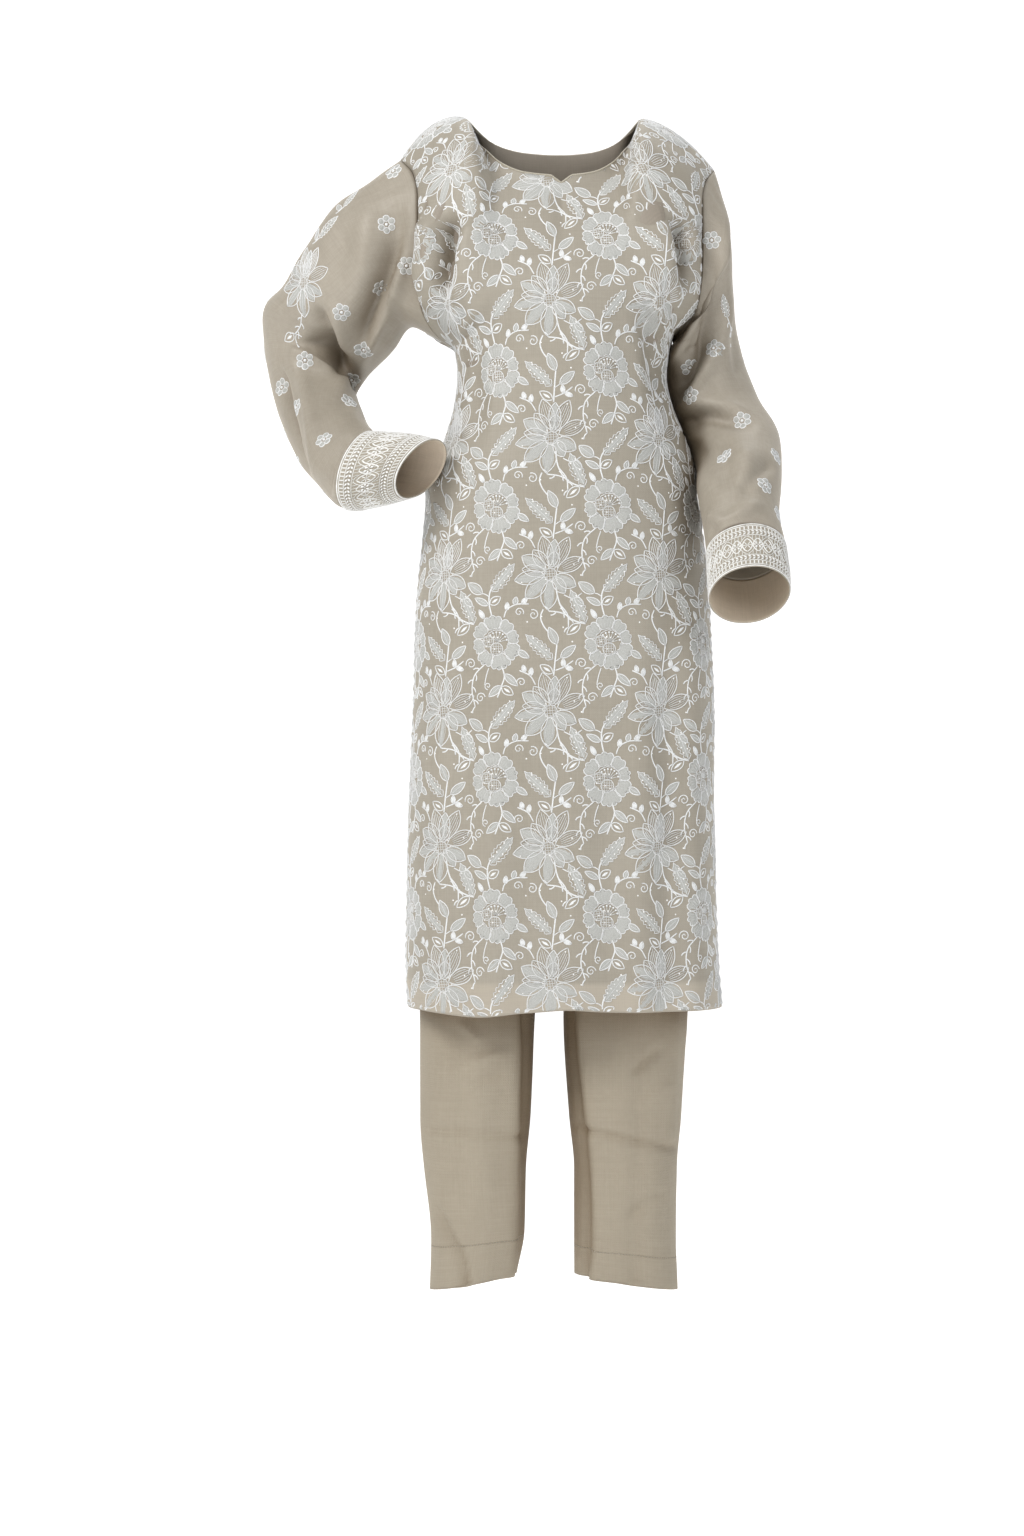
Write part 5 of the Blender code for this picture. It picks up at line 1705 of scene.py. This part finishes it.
def make_sleeves():
    for side, name, table, fronts, backs, flowers, sprays in (
            (RIGHT, "right", SLEEVE_RIGHT, RIGHT_SLEEVE_FRONT, RIGHT_SLEEVE_BACK, RIGHT_FLOWERS,
             [(-0.246, -0.094, EDGE_LEAF, 0.0, 0.8), (-0.272, -0.124, EDGE_LEAF, -35.0, 1.0),
              (-0.297, -0.184, EDGE_BLOOM, -6.0, 0.98)]),
            (LEFT, "left", SLEEVE_LEFT, LEFT_SLEEVE_FRONT, LEFT_SLEEVE_BACK, LEFT_FLOWERS,
             [(0.186, -0.236, EDGE_TWIG, 6.0, 0.9)])):
        sleeve, cuff = sleeve_cloth(side, table, fronts, backs)
        cloth = shell("sleeve_%s_cloth" % name, sleeve, ring_place(sleeve), SLEEVE_ORGANZA, CLOTH, True)
        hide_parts("sleeve_" + name)
        flowers_piece = adorn_sleeve("sleeve_%s_flowers" % name, sleeve, flowers, sprays)
        band = shell("cuff_%s_ground" % name, cuff, ring_place(cuff), LACE_GROUND, CLOTH, True,
                     CUFF_INSIDE_PAINTED_LIGHT)
        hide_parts("cuff_" + name)
        lace = lace_cuff("cuff_%s_lace" % name, cuff)


# ---- trousers ------------------------------------------------------------------------------
LEG_AT = column(LEGS, "z")
HIP_AT = column(HIPS, "z")
JOINED_AT = Curve([CROTCH] + [h.z for h in HIPS], [0.0] + [h.joined for h in HIPS])

TROUSER_FRONT_FOLDS = [
    # a line across each leg at the knee, where the cloth was folded
    Fold([(-165, -1156), (-100, -1160), (-30, -1166)], -3, 5, 5, 0.15, 0.15),
    Fold([(8, -1150), (55, -1161), (99, -1172), (142, -1181)], -4.5, 4, 6, 0.1, 0.1),
    # the long line beside each inner leg seam
    Fold([(-53.5, -980), (-53, -1150), (-55, -1260), (-59, -1331)], 6, 4, 12, 0.1, 0.02),
    Fold([(-44, -1000), (-43, -1150), (-44, -1260), (-49, -1331)], -4.5, 5, 4, 0.15, 0.02),
    Fold([(18, -980), (23, -1080), (32, -1152), (38, -1244), (39, -1290), (35, -1335)],
         7, 14, 4, 0.1, 0.02),
    Fold([(10, -1000), (14, -1080), (23, -1152), (29, -1244), (30, -1290), (26, -1335)],
         -4.5, 4, 5, 0.15, 0.02),
    # slanting pulls
    Fold([(-148, -1235), (-130, -1272), (-113.5, -1302), (-108, -1333)], -6, 4, 9, 0.25, 0.05),
    Fold([(-112, -1080), (-90, -1074), (-62, -1064)], 2.8, 5, 6, 0.3, 0.3),
    Fold([(-108, -1100), (-84, -1096), (-60, -1088)], -2.6, 5, 6, 0.3, 0.3),
    Fold([(-118, -1030), (-104, -1044), (-88, -1058)], 2.4, 5, 5, 0.3, 0.3),
    Fold([(74, -1098), (94, -1078), (114, -1056)], -3.2, 4, 6, 0.3, 0.3),
    Fold([(84, -1135), (104, -1118), (128, -1100)], 2.6, 6, 6, 0.3, 0.3),
    Fold([(62, -1262), (94, -1240), (124, -1222)], -2.8, 6, 8, 0.3, 0.3),
    Fold([(55, -1205), (85, -1212), (118, -1206)], 2.2, 7, 8, 0.3, 0.3),
    # soft falls
    Fold([(-120, -1010), (-118, -1160), (-116, -1260)], -4, 13, 11, 0.2, 0.2),
    Fold([(92, -1000), (88, -1160), (82, -1331)], -4, 12, 14, 0.2, 0.02),
    Fold([(128, -1000), (124, -1120), (122, -1180)], 3.5, 6, 10, 0.2, 0.1),
]
TROUSER_BACK_FOLDS = [
    Fold([(-165, -1170), (-100, -1164), (-30, -1160)], -2.2, 6, 5, 0.15, 0.15),
    Fold([(0, -1166), (70, -1160), (145, -1170)], -2.2, 5, 6, 0.15, 0.15),
    Fold([(-100, -760), (-104, -1000), (-100, -1331)], 4.5, 12, 15, 0.3, 0.02),
    Fold([(-65, -900), (-62, -1100), (-68, -1331)], -3.5, 12, 10, 0.3, 0.02),
    Fold([(75, -760), (78, -1000), (72, -1331)], 4.5, 15, 12, 0.3, 0.02),
    Fold([(110, -900), (106, -1100), (104, -1331)], -3.5, 10, 12, 0.3, 0.02),
]
LEG_ROUND = 38                            # columns of one panel
SHOWN_STEP, HIDDEN_STEP = 0.0038, 0.0115  # between rows below and above the next level
HIDDEN_LEVEL = -0.96                      # above it the kameez hides the trousers
HEM_CORNER, HEM_SLANT = 0.004, 0.009      # how far the hem's corners drop, and how far it slants
CORNER_REACH = 0.12                       # how far up the leg that reaches
WAIST_ROUND, WAIST_ROWS = 160, 9
WAIST_TAPER = 0.003                       # the band's top is this much narrower, each way
ELASTIC_DEEP, ELASTIC_COLUMNS = 0.0012, 4.0  # gathers of the waistband
HEM_TURNED = 0.040                        # how tall the trousers' turned hem is
STITCH_SPOTS, STITCH_EVERY, STITCH_LONG, STITCH_THICK = 160, 3, 2, 0.0004


def leg_grid(name, way, face):
    """Half of one leg, rows from the hem up; across x up points outward."""
    outer, inner, facing = LEG_AT[name + "_outer"], LEG_AT[name + "_inner"], way_of(face)
    z = np.concatenate([np.arange(TROUSER_HEM, HIDDEN_LEVEL, SHOWN_STEP),
                        np.arange(HIDDEN_LEVEL, WAIST_SEAM, HIDDEN_STEP), [WAIST_SEAM]])[:, None]
    s = np.linspace(0.0, 1.0, LEG_ROUND + 1)[None, :]
    low = np.minimum(z, CROTCH)
    single = stack(mix(inner(low), outer(low), (1.0 - np.cos(math.pi * s)) / 2.0),
                   face * LEG_AT[facing](low) * np.sin(math.pi * s), z)
    power, a = 2.0 / HIP_CORNER, s * math.pi / 2.0
    whole = stack(way * np.maximum(SEAM_GAP / 2.0, HIP_AT["half"](z) * np.sin(a) ** power),
                  face * HIP_AT[facing](z) * np.clip(np.cos(a), 0.0, 1.0) ** power, z)
    joined = np.where(z > CROTCH, JOINED_AT(z), 0.0)[..., None]
    grid = mix(single, whole, joined)
    grid[..., 1] += face * SEAM_GAP / 2.0
    # the pressed hem drops a little at its corners, and slants down toward the outer one
    corner = HEM_CORNER * (1.0 - np.sin(math.pi * s)) - HEM_SLANT * np.cos(math.pi * s)
    grid[..., 2] -= corner * smooth((TROUSER_HEM + CORNER_REACH - z) / CORNER_REACH)
    hold = smooth(np.minimum(s, 1.0 - s) / 0.06) + 0.0 * z
    if way * face > 0:
        grid, hold = grid[:, ::-1].copy(), hold[:, ::-1]
    grid = lift(grid, TROUSER_FRONT_FOLDS if face < 0 else TROUSER_BACK_FOLDS, hold, face)
    n = outward(grid)
    return grid + n * (ripple(grid, "trousers", 3.0 + way) * hold)[..., None]


def make_trousers():
    for name, way in (("right", -1), ("left", 1)):
        for face, half in ((-1, "front"), (1, "back")):
            grid = leg_grid(name, way, face)
            node_name = "trouser_%s_%s" % (name, half)
            cloth = shell(node_name + "_cloth", grid, arc_place(grid, grid.shape[1] // 2), SUITING, CLOTH)
            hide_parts(node_name)
            stitches = hem_stitches(node_name + "_hem_stitches", grid)
    make_waistband()


def make_waistband():
    """The band above the four panels, drawn up on its elastic."""
    rings = []
    a = -2.0 * math.pi * np.arange(WAIST_ROUND) / WAIST_ROUND
    power = 2.0 / HIP_CORNER
    for z, grow in zip(np.linspace(WAIST_SEAM + SEAM_GAP, WAIST_TOP, WAIST_ROWS),
                       np.linspace(0.0, -WAIST_TAPER, WAIST_ROWS)):
        half = HIPS[-1].half + grow
        deep = np.where(np.cos(a) > 0, HIPS[-1].front, HIPS[-1].back) + grow
        rings.append(stack(np.sign(np.sin(a)) * half * np.abs(np.sin(a)) ** power,
                           -np.sign(np.cos(a)) * deep * np.abs(np.cos(a)) ** power, z))
    grid = np.array(rings)[:, ::-1]
    middle = np.sin(np.linspace(0.0, math.pi, WAIST_ROWS))[:, None]
    beat = np.sin(np.arange(WAIST_ROUND) * 2.0 * math.pi / ELASTIC_COLUMNS + 0.6)
    grid = grid + outward(grid, True) * (middle * ELASTIC_DEEP * beat)[..., None]
    band = shell("trouser_waistband_cloth", grid, ring_place(grid), SUITING, CLOTH, True)
    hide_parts("trouser_waistband")


def hem_stitches(name, grid):
    """The row of stitches that holds the turned hem."""
    n = outward(grid)
    row = int(np.argmin(np.abs(grid[:, 5, 2] - (TROUSER_HEM + HEM_TURNED))))
    line = grid[row, 1:-1] + n[row, 1:-1] * 0.0001
    dense = soft_line(line, STITCH_SPOTS)
    over = soft_line(n[row, 1:-1], STITCH_SPOTS)
    up = np.array([0.0, 0.0, STITCH_THICK])
    verts, faces = [], []
    for i in range(STITCH_LONG, STITCH_SPOTS - 2 * STITCH_LONG, STITCH_EVERY):
        p, q = dense[i], dense[i + STITCH_LONG]
        lift_by = over[i] * STITCH_THICK
        start = len(verts)
        verts += [p - up, p + up, p + lift_by, q - up, q + up, q + lift_by]
        faces += [tuple(start + k for k in f) for f in
                  ((0, 2, 1), (3, 4, 5), (0, 3, 5, 2), (2, 5, 4, 1), (1, 4, 3, 0))]
    piece = new_mesh(name, verts, faces, None, [SEAM_THREAD])
    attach(piece, "root")
    return piece


FIELD, BACK_FIELD = field(FRONT_COARSE), field(BACK_COARSE)
FLOWER = small_flower()
EDGE_BLOOM, EDGE_LEAF, EDGE_TWIG = edge_bloom(), edge_leaf(), edge_twig()
make_body()
make_sleeves()
make_trousers()


# ---- floor, light and camera ---------------------------------------------------------------
FLOOR = -1.46
FLOOR_SIZE, WALL_HEIGHT = (14.0, 9.0, 1.0), 7.0
SWEEP_RADIUS, SWEEP_STEPS = 1.5, 12


def studio_paper():
    paper = bpy.data.materials.new("studio paper")
    paper.use_nodes = True
    for name, value in (("Base Color", (0.90, 0.90, 0.895, 1.0)), ("Roughness", 0.95),
                        ("Emission Color", (1.0, 1.0, 1.0, 1.0)), ("Emission Strength", 0.42)):
        paper.node_tree.nodes["Principled BSDF"].inputs[name].default_value = value
    return paper


def make_studio():
    """A floor whose far edge is drawn up into a wall, with a round sweep between them."""
    bpy.ops.object.select_all(action="DESELECT")
    bpy.ops.mesh.primitive_plane_add(size=1.0, location=(0.0, 0.0, FLOOR))
    floor = bpy.context.active_object
    floor.name = "studio_floor"
    floor.scale = FLOOR_SIZE
    bpy.ops.object.transform_apply(location=True, rotation=False, scale=True)
    bpy.ops.object.mode_set(mode="EDIT")
    bpy.ops.mesh.select_all(action="DESELECT")
    bpy.ops.object.mode_set(mode="OBJECT")
    for edge in floor.data.edges:
        edge.select = all(floor.data.vertices[v].co.y > 0.0 for v in edge.vertices)
    bpy.ops.object.mode_set(mode="EDIT")
    bpy.ops.mesh.select_mode(type="EDGE")
    bpy.ops.mesh.extrude_region_move(TRANSFORM_OT_translate={"value": (0.0, 0.0, WALL_HEIGHT)})
    bpy.ops.mesh.select_all(action="SELECT")
    bpy.ops.object.mode_set(mode="OBJECT")
    sweep = floor.modifiers.new("sweep", "BEVEL")
    sweep.width, sweep.segments = SWEEP_RADIUS, SWEEP_STEPS
    bpy.ops.object.modifier_apply(modifier=sweep.name)
    bpy.ops.object.shade_smooth()
    floor.data.materials.append(studio_paper())


def softbox(name, spot, aim, size, power, colour):
    light = bpy.data.lights.new(name, "AREA")
    light.shape, light.size, light.energy, light.color = "SQUARE", size, power, colour
    lamp = bpy.data.objects.new(name, light)
    lamp.location = spot
    lamp.rotation_euler = (Vector(aim) - Vector(spot)).to_track_quat("-Z", "Y").to_euler()
    bpy.context.scene.collection.objects.link(lamp)


make_studio()
softbox("key", (-1.9, -2.4, 1.7), (0.0, 0.0, -0.5), 1.3, 96.0, (1.0, 0.985, 0.96))
softbox("fill", (2.0, -2.8, 0.9), (0.0, 0.0, -0.7), 1.8, 29.0, (0.97, 0.985, 1.0))
softbox("top", (0.3, 0.9, 1.9), (0.0, 0.0, -0.4), 1.6, 22.0, (1.0, 1.0, 1.0))

world = bpy.context.scene.world or bpy.data.worlds.new("studio")
bpy.context.scene.world = world
world.use_nodes = True
sky = world.node_tree.nodes["Background"]
sky.inputs["Color"].default_value = (1.0, 0.995, 0.985, 1.0)
sky.inputs["Strength"].default_value = 0.40

bpy.context.scene.view_settings.view_transform = "Standard"

FRAME_HEIGHT, CAMERA_FAR, SENSOR = 1.766, 3.6, 36.0
lens = bpy.data.cameras.new("camera")
lens.sensor_width = SENSOR
lens.lens = SENSOR * CAMERA_FAR / FRAME_HEIGHT
camera = bpy.data.objects.new("camera", lens)
camera.location = (-0.0575, -CAMERA_FAR, -0.746)
camera.rotation_euler = (math.pi / 2.0, 0.0, 0.0)
bpy.context.scene.collection.objects.link(camera)
bpy.context.scene.camera = camera
